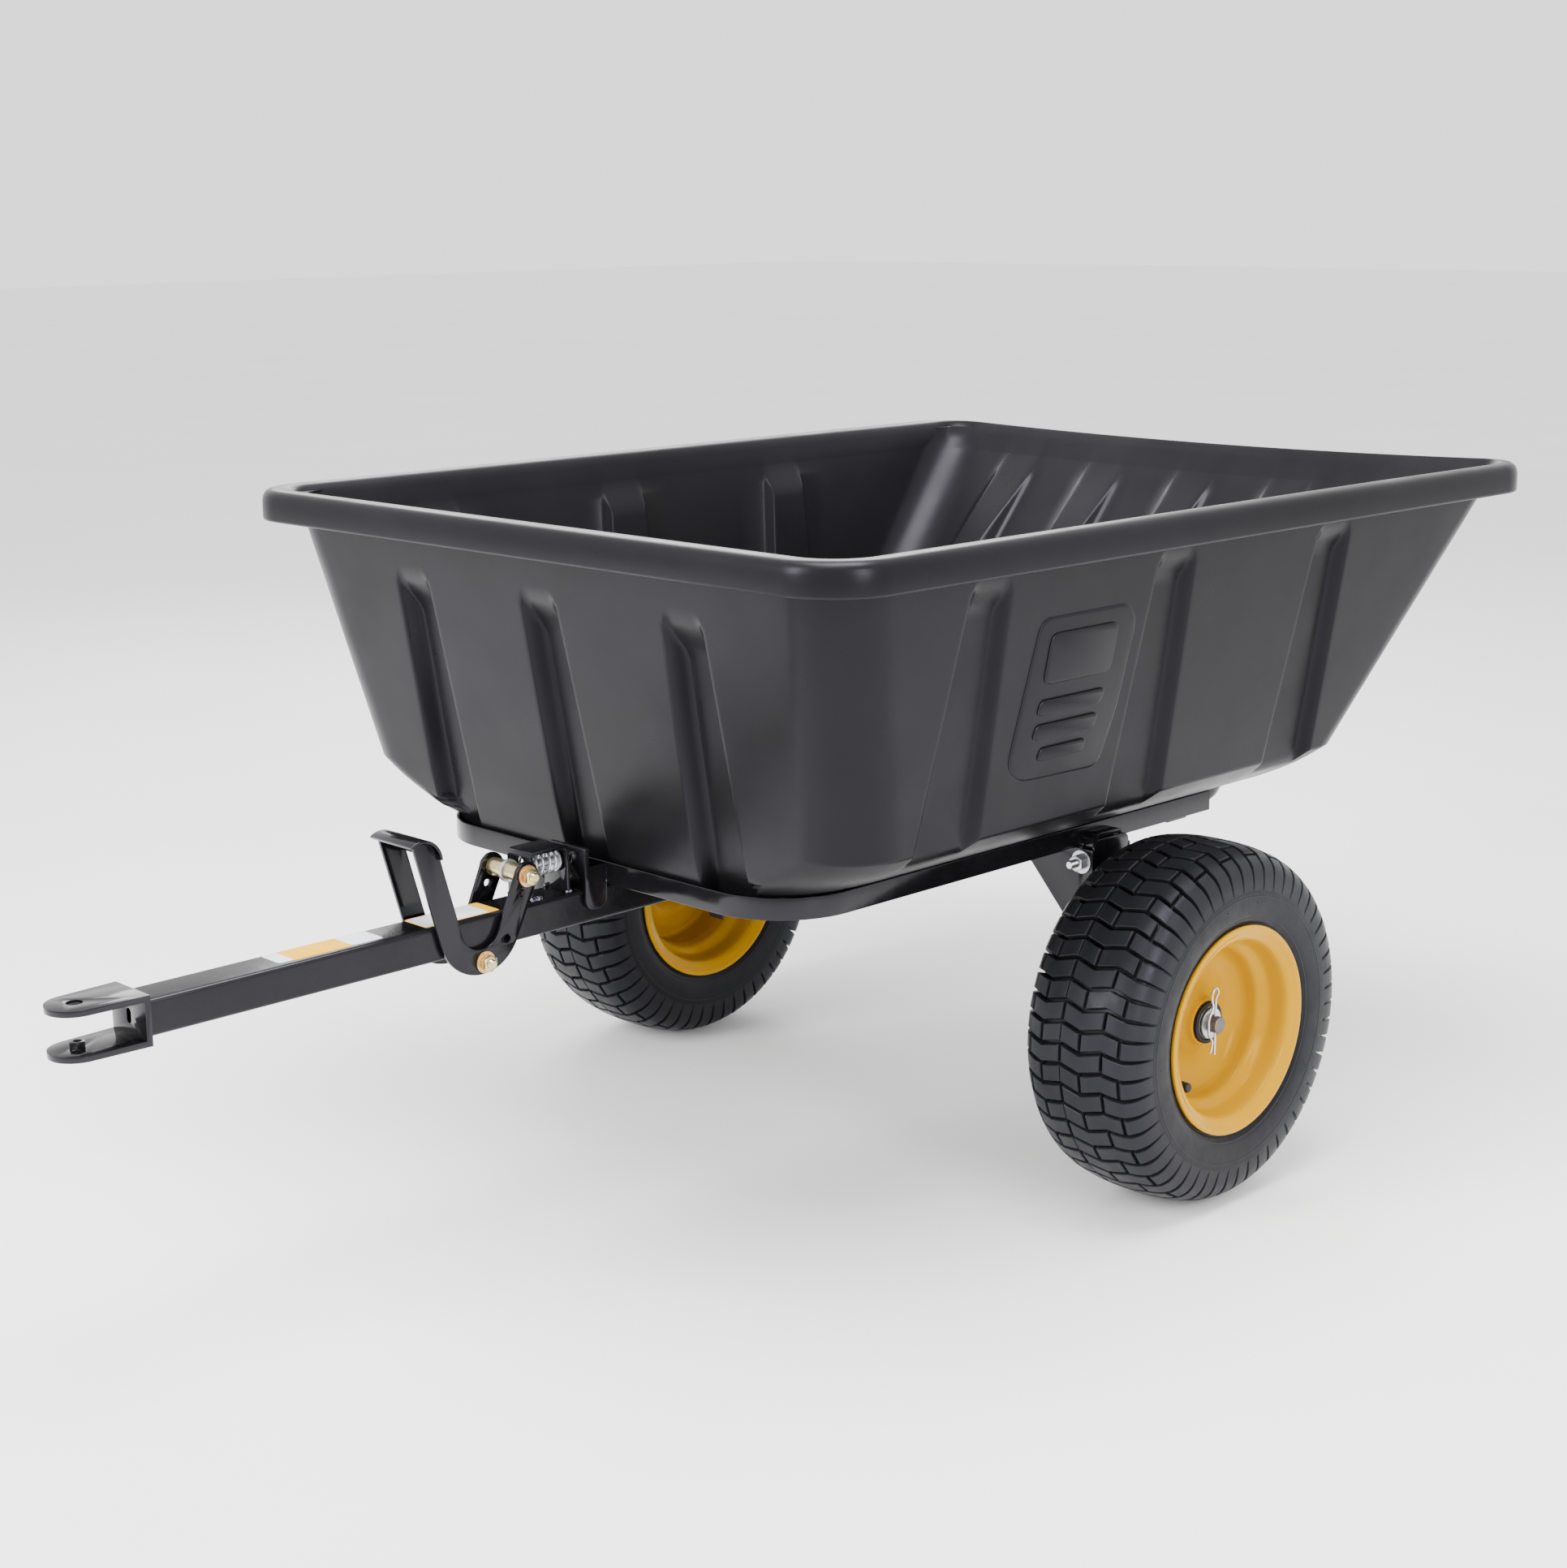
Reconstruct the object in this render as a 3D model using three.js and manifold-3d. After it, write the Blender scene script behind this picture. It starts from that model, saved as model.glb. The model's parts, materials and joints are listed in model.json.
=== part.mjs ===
// Two-wheeled tow-behind garden cart with a moulded tub that tips backwards.
// Millimetres, +Z up, -Y towards the towing vehicle, +X the cart's left side.
// The design is drawn with the wheel axle over y = 0, then centred lengthways.
import * as THREE from 'three';
import { mergeVertices } from 'three/addons/utils/BufferGeometryUtils.js';
import { ConvexGeometry } from 'three/addons/geometries/ConvexGeometry.js';
import Module from 'manifold-3d';

const wasm = await Module();
wasm.setup();

// ---- driving dimensions ----
const GAP = 0.3;                   // between pieces that touch
const ROUND = 12;                  // facets round a pin, hole or tube
const HOLE_FACETS = 24;            // facets round a hole in plain sight
const WHEEL_FACETS = 24;
const AXLE_Z = 203;                // wheel radius, so the tyres stand on z = 0
const TRACK = 853.5;
const STUB_R = 9.5;
const COLLAR_R = 13.5;             // shoulder that spaces the hub off the leg
const AXLE_PIN_R = 1.9;            // cross hole for the hairpin
const AXLE_PIN_OUT = 43;           // from the wheel's middle to the hairpin

const RIM_HALF_WIDTH = 487.7;      // outer edge of the tub's lip
const RIM_FRONT = -611.3;
const RIM_REAR = 611;
const RIM_TOP = 780.6;
const LIP_DROP = 35;
const LIP_INSET = 35;              // lip edge to tub wall
const LIP_CORNER = 75;
const WALL = 5;
const FLOOR_Z = 385;
const CREASE_Z = 464;              // where the side walls turn in to the bottom
const CREASE_HALF_WIDTH = 408;
const CREASE_FRONT = -513;
const CREASE_REAR = 334.6;
const FLUTE_DEPTH = 20;

const FRAME_HALF_WIDTH = 299;
const FRAME_FRONT = -503;
const FRAME_REAR = 212.8;
const FRAME_Z = 381.6;
const FRAME_LEG = 24.1;
const FRAME_T = 3;
const LEDGE_WIDTH = 46;
const FRAME_CORNER = 95;
const CROSSBAR = { half: 292, front: 140, rear: 177, t: 4 };

const TONGUE_W = 47;
const TONGUE_H = 37;
const TONGUE_TOP = 378;
const TONGUE_BOTTOM = TONGUE_TOP - TONGUE_H;
const TONGUE_FRONT = -1061;
const TONGUE_REAR = -43;
const TONGUE_WALL = 2.5;
const CLEVIS_HALF = 31;
const CLEVIS_T = 6;
const CLEVIS_HOLE_Y = -1122;
const CLEVIS_TIP_R = 28;
const CLEVIS_TOP = TONGUE_TOP + 7;
const CLEVIS_BOTTOM = TONGUE_BOTTOM - 6;
const HITCH_HOLE_R = 8;
const HITCH_NUT_R = 4;

const TILT_Y = -55;                // hinge between tongue and bed
const TILT_Z = 359.5;
const TILT_R = 6;
const TILT_SLEEVE_R = 9;
const EAR_T = 5;

const PIVOT_Y = -672;              // foot lever pivot, under the tongue
const PIVOT_Z = 331;
const LATCH_Y = -613;              // lever's upper bolt
const LATCH_Z = 412;
const LEVER_R = 5;
const LEVER_X = 27;                // inner face of each lever plate
const LEVER_T = 4;
const LEVER_WIDTH = 27;
const WASHER_ROOM = 2.6;           // left between a lever plate and a bolt head or nut
const TREAD_HALF = 35.5;

const BRACKET_FRONT = -598;        // spring hood welded on the tongue
const BRACKET_REAR = -544;
const BRACKET_LEFT = 17;
const BRACKET_RIGHT = -21;
const BRACKET_TOP = 430.7;
const BRACKET_T = 4;
const PIN_R = 4.75;
const PIN_EYE_R = 12.5;
const PIN_EYE_HALF = 2.2;
const SPRING_R = 11.3;
const SPRING_WIRE_R = 2.1;
const KEEPER_Y = -533;             // front face of the keeper plate on the bed
const KEEPER_T = 6;
const KEEPER_TOP = 425;
const SADDLE_T = 4;
const SADDLE_BOTTOM = 356;
const SADDLE_TOP = 404;

const LEG_FACE = 320;              // outboard face of each axle leg
const LEG_HALF = 34;
const LEG_T = 3;
const LEG_BOTTOM = 178;
const LEG_WEB_TOP = 392;
const LEG_ELBOW = [296, 281];
const LEG_TOP_INNER = 204.6;
const HANGER_HALF = 27;
const HANGER_BOTTOM = 353;
const HANGER_TOP = 398;
const HANGER_T = 5;
const HANGER_BOLT_X = 305;
const HANGER_BOLT_Z = 366;
const HANGER_BOLT_R = 5;
const CROSS_Z = 352;
const CROSS_HALF = 30.7;
const CROSS_T = 3;

// bolts through the tub's floor and the frame's ledge
const TUB_BOLTS = [[264, 92], [-264, 92], [264, -380], [-264, -380]];
const TUB_BOLT_R = 4;

// ---- solids ----
const COLOURS = {
  poly: { color: 0x2e2e31, roughness: 0.45, metalness: 0 },
  powder: { color: 0x17171a, roughness: 0.35, metalness: 0.4 },
  rubber: { color: 0x2b2b2d, roughness: 0.8, metalness: 0 },
  yellow: { color: 0xf0b40f, roughness: 0.25, metalness: 0.2 },
  zinc: { color: 0xc4c8cc, roughness: 0.3, metalness: 0.9 },
  goldzinc: { color: 0xc9b26a, roughness: 0.3, metalness: 0.9 },
  steel: { color: 0x6a6a6c, roughness: 0.45, metalness: 0.8 },
  seal: { color: 0x222224, roughness: 0.6, metalness: 0.1 },
};
const group = new THREE.Group();

function solid(geometry) {
  const g = geometry.index ? geometry.clone() : geometry;
  g.deleteAttribute('normal');
  g.deleteAttribute('uv');
  const merged = mergeVertices(g, 1e-4);
  return new wasm.Manifold(new wasm.Mesh({
    numProp: 3,
    vertProperties: new Float32Array(merged.attributes.position.array),
    triVerts: new Uint32Array(merged.index.array),
  }));
}

function put(name, body, finish) {
  const mesh = body.getMesh();
  const g = new THREE.BufferGeometry();
  g.setAttribute('position', new THREE.BufferAttribute(new Float32Array(mesh.vertProperties), 3));
  g.setIndex(new THREE.BufferAttribute(new Uint32Array(mesh.triVerts), 1));
  g.computeVertexNormals();
  const node = new THREE.Mesh(g, new THREE.MeshStandardMaterial(COLOURS[finish]));
  node.name = name;
  group.add(node);
}

const cut = (a, ...rest) => rest.reduce((s, b) => s.subtract(b), a);
const join = (a, ...rest) => rest.reduce((s, b) => s.add(b), a);
const mirrorX = (body) => body.mirror([1, 0, 0]);
const sides = [['left', 1], ['right', -1]];
const onSide = (body, sign) => (sign > 0 ? body : mirrorX(body));

function block(x0, x1, y0, y1, z0, z1) {
  const g = new THREE.BoxGeometry(x1 - x0, y1 - y0, z1 - z0);
  g.translate((x0 + x1) / 2, (y0 + y1) / 2, (z0 + z1) / 2);
  return solid(g);
}

// a round or many-sided bar from one point along an axis ('x', 'y' or 'z')
function bar(axis, radius, from, to, centre, segments = ROUND) {
  const g = new THREE.CylinderGeometry(radius, radius, Math.abs(to - from), segments);
  const middle = (from + to) / 2;
  if (axis === 'x') {
    g.rotateZ(Math.PI / 2);
    g.translate(middle, centre[0], centre[1]);
  } else if (axis === 'y') {
    g.translate(centre[0], middle, centre[1]);
  } else {
    g.rotateX(Math.PI / 2);
    g.translate(centre[0], centre[1], middle);
  }
  return solid(g);
}

const ring = (axis, outer, inner, from, to, centre, segments = ROUND) => cut(
  bar(axis, outer, from, to, centre, segments),
  bar(axis, inner, Math.min(from, to) - 1, Math.max(from, to) + 1, centre, segments),
);

const hexRadius = (acrossFlats) => acrossFlats / Math.sqrt(3);

function bolt(axis, radius, acrossFlats, headFrom, headTo, tip, centre) {
  return join(
    bar(axis, hexRadius(acrossFlats), headFrom, headTo, centre, 6),
    bar(axis, radius, headFrom, tip, centre),
  );
}

const nut = (axis, radius, acrossFlats, from, to, centre) => cut(
  bar(axis, hexRadius(acrossFlats), from, to, centre, 6),
  bar(axis, radius + GAP, Math.min(from, to) - 1, Math.max(from, to) + 1, centre),
);

function extruded(shape, depth, basis, origin, curveSegments) {
  const g = new THREE.ExtrudeGeometry(shape, { depth, bevelEnabled: false, curveSegments });
  const [u, v, w] = basis;
  g.applyMatrix4(new THREE.Matrix4().makeBasis(u, v, w));
  g.translate(...origin);
  return solid(g);
}
const X = new THREE.Vector3(1, 0, 0);
const Y = new THREE.Vector3(0, 1, 0);
const Z = new THREE.Vector3(0, 0, 1);
// a shape drawn in (y, z) between two x, in (x, z) between two y, in (x, y) between two z
const slabX = (shape, x0, x1, seg = 8) => extruded(shape, x1 - x0, [Y, Z, X], [x0, 0, 0], seg);
const slabY = (shape, y0, y1, seg = 8) => extruded(
  shape, y1 - y0, [X, Z, Y.clone().negate()], [0, y1, 0], seg);
const slabZ = (shape, z0, z1, seg = 8) => extruded(shape, z1 - z0, [X, Y, Z], [0, 0, z0], seg);

function outline(points) {
  const shape = new THREE.Shape();
  points.forEach(([u, v], i) => (i ? shape.lineTo(u, v) : shape.moveTo(u, v)));
  shape.closePath();
  return shape;
}

// a rectangle with its own radius at the start corners and at the end corners of v
function roundedOutline(u0, u1, v0, v1, r0, r1 = r0) {
  const s = new THREE.Shape();
  s.moveTo(u0 + r0, v0);
  s.lineTo(u1 - r0, v0);
  if (r0) s.absarc(u1 - r0, v0 + r0, r0, -Math.PI / 2, 0);
  s.lineTo(u1, v1 - r1);
  if (r1) s.absarc(u1 - r1, v1 - r1, r1, 0, Math.PI / 2);
  s.lineTo(u0 + r1, v1);
  if (r1) s.absarc(u0 + r1, v1 - r1, r1, Math.PI / 2, Math.PI);
  s.lineTo(u0, v0 + r0);
  if (r0) s.absarc(u0 + r0, v0 + r0, r0, Math.PI, Math.PI * 1.5);
  return s;
}

function lathe(profile, x, segments) {
  const points = profile.map(([u, r]) => new THREE.Vector2(r, u));
  if (THREE.ShapeUtils.area(points) < 0) points.reverse();
  points.push(points[0].clone());
  const g = new THREE.LatheGeometry(points, segments);
  g.rotateZ(-Math.PI / 2);
  g.translate(x, 0, AXLE_Z);
  return solid(g);
}

function wire(points, radius, steps, sidesOfWire) {
  const curve = new THREE.CatmullRomCurve3(points.map((p) => new THREE.Vector3(...p)));
  const section = outline(Array.from({ length: sidesOfWire }, (_, i) => {
    const a = (i / sidesOfWire) * Math.PI * 2;
    return [Math.cos(a) * radius, Math.sin(a) * radius];
  }));
  return solid(new THREE.ExtrudeGeometry(section, { steps, extrudePath: curve }));
}

// ---- tub ----
// one level of the tub: a rectangle with round corners, as a closed loop of points
function level(z, halfWidth, front, rear, frontCorner, rearCorner) {
  const arc = 6;
  const corners = [
    [halfWidth, rear, rearCorner, 0],
    [-halfWidth, rear, rearCorner, 1],
    [-halfWidth, front, frontCorner, 2],
    [halfWidth, front, frontCorner, 3],
  ];
  return corners.flatMap(([x, y, r, quarter]) => Array.from({ length: arc + 1 }, (_, i) => {
    const a = (quarter + i / arc) * (Math.PI / 2);
    return [x - Math.sign(x) * r + Math.cos(a) * r, y - Math.sign(y) * r + Math.sin(a) * r, z];
  }));
}

function loft(levels) {
  const count = levels[0].length;
  const positions = levels.flat(2);
  const index = [];
  levels.slice(1).forEach((_, k) => {
    for (let i = 0; i < count; i += 1) {
      const a = k * count + i;
      const b = k * count + ((i + 1) % count);
      index.push(a, b, b + count, a, b + count, a + count);
    }
  });
  const last = (levels.length - 1) * count;
  for (let i = 1; i < count - 1; i += 1) {
    index.push(0, i + 1, i);
    index.push(last, last + i, last + i + 1);
  }
  const g = new THREE.BufferGeometry();
  g.setAttribute('position', new THREE.BufferAttribute(new Float32Array(positions), 3));
  g.setIndex(index);
  return solid(g);
}

const WALL_TOP_Z = RIM_TOP - LIP_DROP;
const REAR_LIP_INSET = 28;
const wallTop = {
  half: RIM_HALF_WIDTH - LIP_INSET,
  front: RIM_FRONT + LIP_INSET,
  rear: RIM_REAR - REAR_LIP_INSET,
};
const mix = (a, b, t) => a + (b - a) * t;
const wallAt = (z) => {
  const t = (z - CREASE_Z) / (WALL_TOP_Z - CREASE_Z);
  return {
    half: mix(CREASE_HALF_WIDTH, wallTop.half, t),
    front: mix(CREASE_FRONT, wallTop.front, t),
    rear: mix(CREASE_REAR, wallTop.rear, t),
  };
};

// the turned-in bottom: height above the floor, half width, front, rear, front and rear corner
const TUB_BOTTOM = [
  [0, 280, -484, 262, 78, 45],
  [8, 290, -493, 274, 86, 52],
  [22, 295, -498, 284, 92, 56],
  [39, 342, -503, 299, 88, 58],
  [59, 382, -508, 317, 80, 58],
  [CREASE_Z - FLOOR_Z, CREASE_HALF_WIDTH, CREASE_FRONT, CREASE_REAR, 72, 58],
];
const WALL_CORNERS = [72, 66];
const REAR_SLANT = 1.25;           // the rear wall leans, so its thickness reaches further along y

// the tub's own surface, moved inwards by t and upwards by lift
function tubLevels(t, lift, top) {
  const rise = CREASE_Z - FLOOR_Z;
  const levels = TUB_BOTTOM.map(([h, half, front, rear, rf, rr]) => level(
    FLOOR_Z + h + lift * (1 - h / rise), half - t, front + t, rear - t * REAR_SLANT, rf - t, rr - t));
  [WALL_TOP_Z, top].forEach((z) => {
    const w = wallAt(Math.min(z, WALL_TOP_Z));
    const [rf, rr] = WALL_CORNERS;
    levels.push(level(z, w.half - t, w.front + t, w.rear - t * REAR_SLANT, rf - t, rr - t));
  });
  return levels;
}

// a flute is a groove that opens outwards and widens towards the bottom of its wall;
// place(along, z, inward) gives the point of the wall that is that far along and inwards
const FLUTE_OUTSIDE = -6;          // the cutter starts this far outside the wall
const FLUTE_DRAFT = 0.35;          // how much the groove narrows for each millimetre of depth
function flute({ from, to, flare, top, bottom, slope }, place, grow) {
  const depth = FLUTE_DEPTH + grow;
  const points = [FLUTE_OUTSIDE, depth].flatMap((inward) => {
    const side = grow - inward * FLUTE_DRAFT;
    const high = top + grow * 0.6 - (inward / FLUTE_DEPTH) * slope;
    return [
      place(from - side, high, inward), place(to + side, high, inward),
      place(from - flare - side, bottom, inward), place(to + side, bottom, inward),
    ];
  });
  return solid(new ConvexGeometry(points.map((p) => new THREE.Vector3(...p))));
}
const FRONT_FLUTE = { flare: 24, top: 699, bottom: FLOOR_Z - 6, slope: 38 };
const SIDE_FLUTE = { flare: 44, top: 733, bottom: 428, slope: 32 };
const REAR_FLUTE = { flare: 16, top: 736, bottom: 424, slope: 30 };
const FRONT_FLUTES_X = [-222, 2, 226];
const FRONT_FLUTE_EDGES = [-27, 28];
const SIDE_FLUTES_REAR_Y = [-329, -33, 259];
const SIDE_FLUTE_WIDTH = 58;
const REAR_FLUTE_PITCH = 152;
const REAR_FLUTE_HALF = 26;
const onFront = (x, z, inward) => [x, wallAt(z).front + inward, z];
const onRear = (x, z, inward) => [x, wallAt(z).rear - inward, z];
const onFlank = (sign) => (y, z, inward) => [sign * (wallAt(z).half - inward), y, z];

function tubFlutes(grow) {
  const [right, left] = FRONT_FLUTE_EDGES;
  const front = FRONT_FLUTES_X.map((x) => flute(
    { ...FRONT_FLUTE, from: x + right, to: x + left }, onFront, grow));
  const rear = [-2, -1, 0, 1, 2].map((i) => i * REAR_FLUTE_PITCH).map((x) => flute(
    { ...REAR_FLUTE, from: x - REAR_FLUTE_HALF, to: x + REAR_FLUTE_HALF }, onRear, grow));
  const flanks = sides.flatMap(([, sign]) => SIDE_FLUTES_REAR_Y.map((y) => flute(
    { ...SIDE_FLUTE, from: y - SIDE_FLUTE_WIDTH, to: y }, onFlank(sign), grow)));
  return [...front, ...rear, ...flanks];
}

const LIP_SKIN = 4.5;
const tubBoltHoles = () => TUB_BOLTS.map(([x, y]) => bar(
  'z', TUB_BOLT_R + GAP, FRAME_Z - 10, FLOOR_Z + 15, [x, y]));

function makeTub() {
  const shell = cut(loft(tubLevels(0, 0, RIM_TOP - 1)), ...tubFlutes(0));
  const cavity = cut(loft(tubLevels(WALL, WALL, RIM_TOP + 20)), ...tubFlutes(WALL));
  const lipLevel = (z, inset) => level(
    z, RIM_HALF_WIDTH - inset, RIM_FRONT + inset, RIM_REAR - inset,
    LIP_CORNER - inset, LIP_CORNER - inset);
  const lip = loft([
    lipLevel(WALL_TOP_Z, 0), lipLevel(RIM_TOP - 8, 0), lipLevel(RIM_TOP - 2.5, 2), lipLevel(RIM_TOP, 8),
  ]);
  const underLip = loft([lipLevel(WALL_TOP_Z - 1, LIP_SKIN), lipLevel(RIM_TOP - WALL, LIP_SKIN)]);
  return cut(join(cut(lip, underLip), shell), cavity, ...tubBoltHoles());
}

// ---- bed frame, a ring of angle iron with square-cut rear ends ----

function frameOutline(inset) {
  const w = FRAME_HALF_WIDTH - inset;
  const front = FRAME_FRONT + inset;
  const r = FRAME_CORNER - inset;
  const s = new THREE.Shape();
  s.moveTo(-w, FRAME_REAR);
  s.lineTo(-w, front + r);
  s.absarc(-w + r, front + r, r, Math.PI, Math.PI * 1.5);
  s.lineTo(w - r, front);
  s.absarc(w - r, front + r, r, Math.PI * 1.5, Math.PI * 2);
  s.lineTo(w, FRAME_REAR);
  s.closePath();
  return s;
}

const FRAME_ARC = 8;
function frameRing(width, z0, z1) {
  const inner = slabZ(frameOutline(width), z0 - 1, z1 + 1, FRAME_ARC);
  const past = block(-FRAME_HALF_WIDTH + width, FRAME_HALF_WIDTH - width,
    0, FRAME_REAR + 1, z0 - 1, z1 + 1);
  return cut(slabZ(frameOutline(0), z0, z1, FRAME_ARC), inner, past);
}

function makeBedFrame() {
  const upright = frameRing(FRAME_T, FRAME_Z, FRAME_Z + FRAME_LEG);
  const ledge = frameRing(LEDGE_WIDTH, FRAME_Z, FRAME_Z + FRAME_T);
  return cut(join(upright, ledge), ...tubBoltHoles());
}

function makeTubBolts() {
  const places = [['rear_left', 0], ['rear_right', 1], ['front_left', 2], ['front_right', 3]];
  places.forEach(([where, i]) => {
    const [x, y] = TUB_BOLTS[i];
    const floor = FLOOR_Z + WALL + GAP;
    const under = FRAME_Z - GAP;
    put(`tub_bolt_${where}`, join(
      bar('z', 9, floor, floor + 3, [x, y]), bar('z', TUB_BOLT_R, floor, under - 9, [x, y]),
    ), 'zinc');
    put(`tub_nut_${where}`, nut('z', TUB_BOLT_R, 13, under - 6.5, under, [x, y]), 'zinc');
  });
}

// ---- front saddle that straddles the tongue and holds the keeper ----
function makeSaddle() {
  const inner = TONGUE_W / 2 + 2.5;
  const outer = inner + SADDLE_T;
  const rear = FRAME_FRONT - GAP;
  const cheek = roundedOutline(KEEPER_Y, rear, SADDLE_BOTTOM, SADDLE_TOP, 12, 2);
  const cheeks = sides.map(([, sign]) => onSide(slabX(cheek, inner, outer), sign));
  const keeper = block(-outer, outer, KEEPER_Y, KEEPER_Y + KEEPER_T, TONGUE_TOP + 2, KEEPER_TOP);
  const pinHole = bar('y', PIN_R + 2, KEEPER_Y - 1, KEEPER_Y + 8, [0, LATCH_Z - 1]);
  return cut(join(keeper, ...cheeks), pinHole);
}

// ---- cross member, legs, hangers and stub axles ----
function makeCrossMember() {
  const end = FRAME_HALF_WIDTH - 7;
  const top = FRAME_Z - GAP;
  const inside = CROSS_HALF - CROSS_T;
  return cut(
    block(-end, end, -CROSS_HALF, CROSS_HALF, CROSS_Z, top),
    block(-end - 1, end + 1, -inside, inside, CROSS_Z - 1, top - CROSS_T),
  );
}

const hangerBoltHole = () => bar(
  'y', HANGER_BOLT_R + GAP, -LEG_HALF - 10, LEG_HALF + 10, [HANGER_BOLT_X, HANGER_BOLT_Z]);

function makeLeg() {
  const top = FRAME_Z - 0.8;
  const inside = LEG_HALF - LEG_T;
  const webFace = LEG_FACE - LEG_T;
  const flange = outline([
    [LEG_TOP_INNER, top], LEG_ELBOW, [LEG_ELBOW[0], LEG_BOTTOM], [LEG_FACE, LEG_BOTTOM], [LEG_FACE, top],
  ]);
  const wide = slabY(flange, -LEG_HALF, LEG_HALF);
  const room = block(LEG_TOP_INNER - 5, webFace, -inside, inside, LEG_BOTTOM - 10, top + 10);
  const web = slabX(roundedOutline(-inside, inside, LEG_ELBOW[1], LEG_WEB_TOP, 0, 9), webFace, LEG_FACE);
  const axleHole = bar('x', STUB_R + GAP, webFace - 10, LEG_FACE + 10, [0, AXLE_Z]);
  return cut(join(cut(wide, room), web), hangerBoltHole(), axleHole);
}

function makeHanger() {
  const inner = FRAME_HALF_WIDTH + GAP;
  const arch = roundedOutline(-HANGER_HALF, HANGER_HALF, HANGER_BOTTOM, HANGER_TOP, 0, 12);
  const inside = HANGER_HALF - HANGER_T;
  const room = roundedOutline(-inside, inside, HANGER_BOTTOM - 10, HANGER_TOP - HANGER_T, 0, 7);
  const outer = LEG_FACE - LEG_T - GAP;
  return cut(slabX(arch, inner, outer), slabX(room, inner - 1, outer + 1), hangerBoltHole());
}

function makeStub() {
  const inner = LEG_FACE - 12;
  const collar = bar('x', COLLAR_R, LEG_FACE + GAP, TRACK / 2 - 46, [0, AXLE_Z]);
  return cut(
    join(bar('x', STUB_R, inner, TRACK / 2 + 50, [0, AXLE_Z]), collar),
    bar('z', AXLE_PIN_R, AXLE_Z - 20, AXLE_Z + 20, [TRACK / 2 + AXLE_PIN_OUT, 0]),
  );
}

// one leg of the wire goes down through the axle, the other springs round behind it
function makeHairpin() {
  const x = TRACK / 2 + AXLE_PIN_OUT;
  return wire([
    [x, 0, 168], [x, 0, 185], [x, 0, 222], [x, 0, 232], [x + 1, 3, 240],
    [x + 1, -2, 246], [x + 1, -8, 240], [x + 1, -8, 232], [x + 1, -6, 224], [x + 1, -12.5, 212],
    [x + 1, -13, 203], [x + 1, -12.5, 194], [x + 1, -6, 184], [x + 1, -9, 172],
  ], 1.4, 28, 5);
}

function makeUndercarriage() {
  put('axle_crossmember', makeCrossMember(), 'powder');
  sides.forEach(([side, sign]) => {
    const at = [sign * HANGER_BOLT_X, HANGER_BOLT_Z];
    put(`axle_leg_${side}`, onSide(makeLeg(), sign), 'powder');
    put(`frame_hanger_${side}`, onSide(makeHanger(), sign), 'powder');
    put(`stub_axle_${side}`, onSide(makeStub(), sign), 'steel');
    put(`hairpin_${side}`, onSide(makeHairpin(), sign), 'zinc');
    put(`axle_washer_${side}`, onSide(
      ring('x', 17.5, STUB_R + GAP, TRACK / 2 + 36, TRACK / 2 + 38.5, [0, AXLE_Z]), sign), 'zinc');
    put(`hanger_bolt_${side}`, bolt(
      'y', HANGER_BOLT_R, 17, LEG_HALF + 6.7, LEG_HALF + GAP, -LEG_HALF - 23, at), 'zinc');
    put(`hanger_nut_${side}`, nut(
      'y', HANGER_BOLT_R, 17, -LEG_HALF - WASHER_ROOM, -LEG_HALF - 12, at), 'zinc');
  });
}

// ---- tilt hinge ----
function makeTiltHinge() {
  const inner = TONGUE_W / 2 + 1;
  const rear = -CROSS_HALF - GAP;
  const ear = outline([
    [rear, CROSS_Z + 1], [rear, FRAME_Z - 1], [TILT_Y - 15, FRAME_Z - 1], [TILT_Y - 18, TILT_Z + 10],
    [TILT_Y - 18, TILT_Z - 8], [TILT_Y - 7, TILT_Z - 17], [TILT_Y + 9, TILT_Z - 17],
  ]);
  sides.forEach(([side, sign]) => {
    const hole = bar('x', TILT_R + GAP, inner - 1, inner + EAR_T + 1, [TILT_Y, TILT_Z]);
    put(`tilt_ear_${side}`, onSide(cut(slabX(ear, inner, inner + EAR_T), hole), sign), 'powder');
  });
  const face = inner + EAR_T + GAP;
  put('tilt_bolt', bolt('x', TILT_R, 18, -face, -face - 7.5, face + 14, [TILT_Y, TILT_Z]), 'zinc');
  put('tilt_nut', nut('x', TILT_R, 18, face, face + 10, [TILT_Y, TILT_Z]), 'zinc');
  const sleeve = TONGUE_W / 2 + 0.5;
  put('tilt_bushing', ring('x', TILT_SLEEVE_R, TILT_R + GAP, -sleeve, sleeve, [TILT_Y, TILT_Z]), 'steel');
}

// ---- tongue and hitch ----
function makeTongue() {
  const half = TONGUE_W / 2;
  const inside = half - TONGUE_WALL;
  const room = roundedOutline(
    -inside, inside, TONGUE_BOTTOM + TONGUE_WALL, TONGUE_TOP - TONGUE_WALL, 2);
  const tube = cut(
    slabY(roundedOutline(-half, half, TONGUE_BOTTOM, TONGUE_TOP, 4), TONGUE_FRONT, TONGUE_REAR, 2),
    slabY(room, TONGUE_FRONT - 1, TONGUE_REAR + 1, 2),
  );
  const tiltHole = bar('x', TILT_SLEEVE_R + GAP, -half - 10, half + 10, [TILT_Y, TILT_Z]);
  return cut(tube, tiltHole);
}

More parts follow.
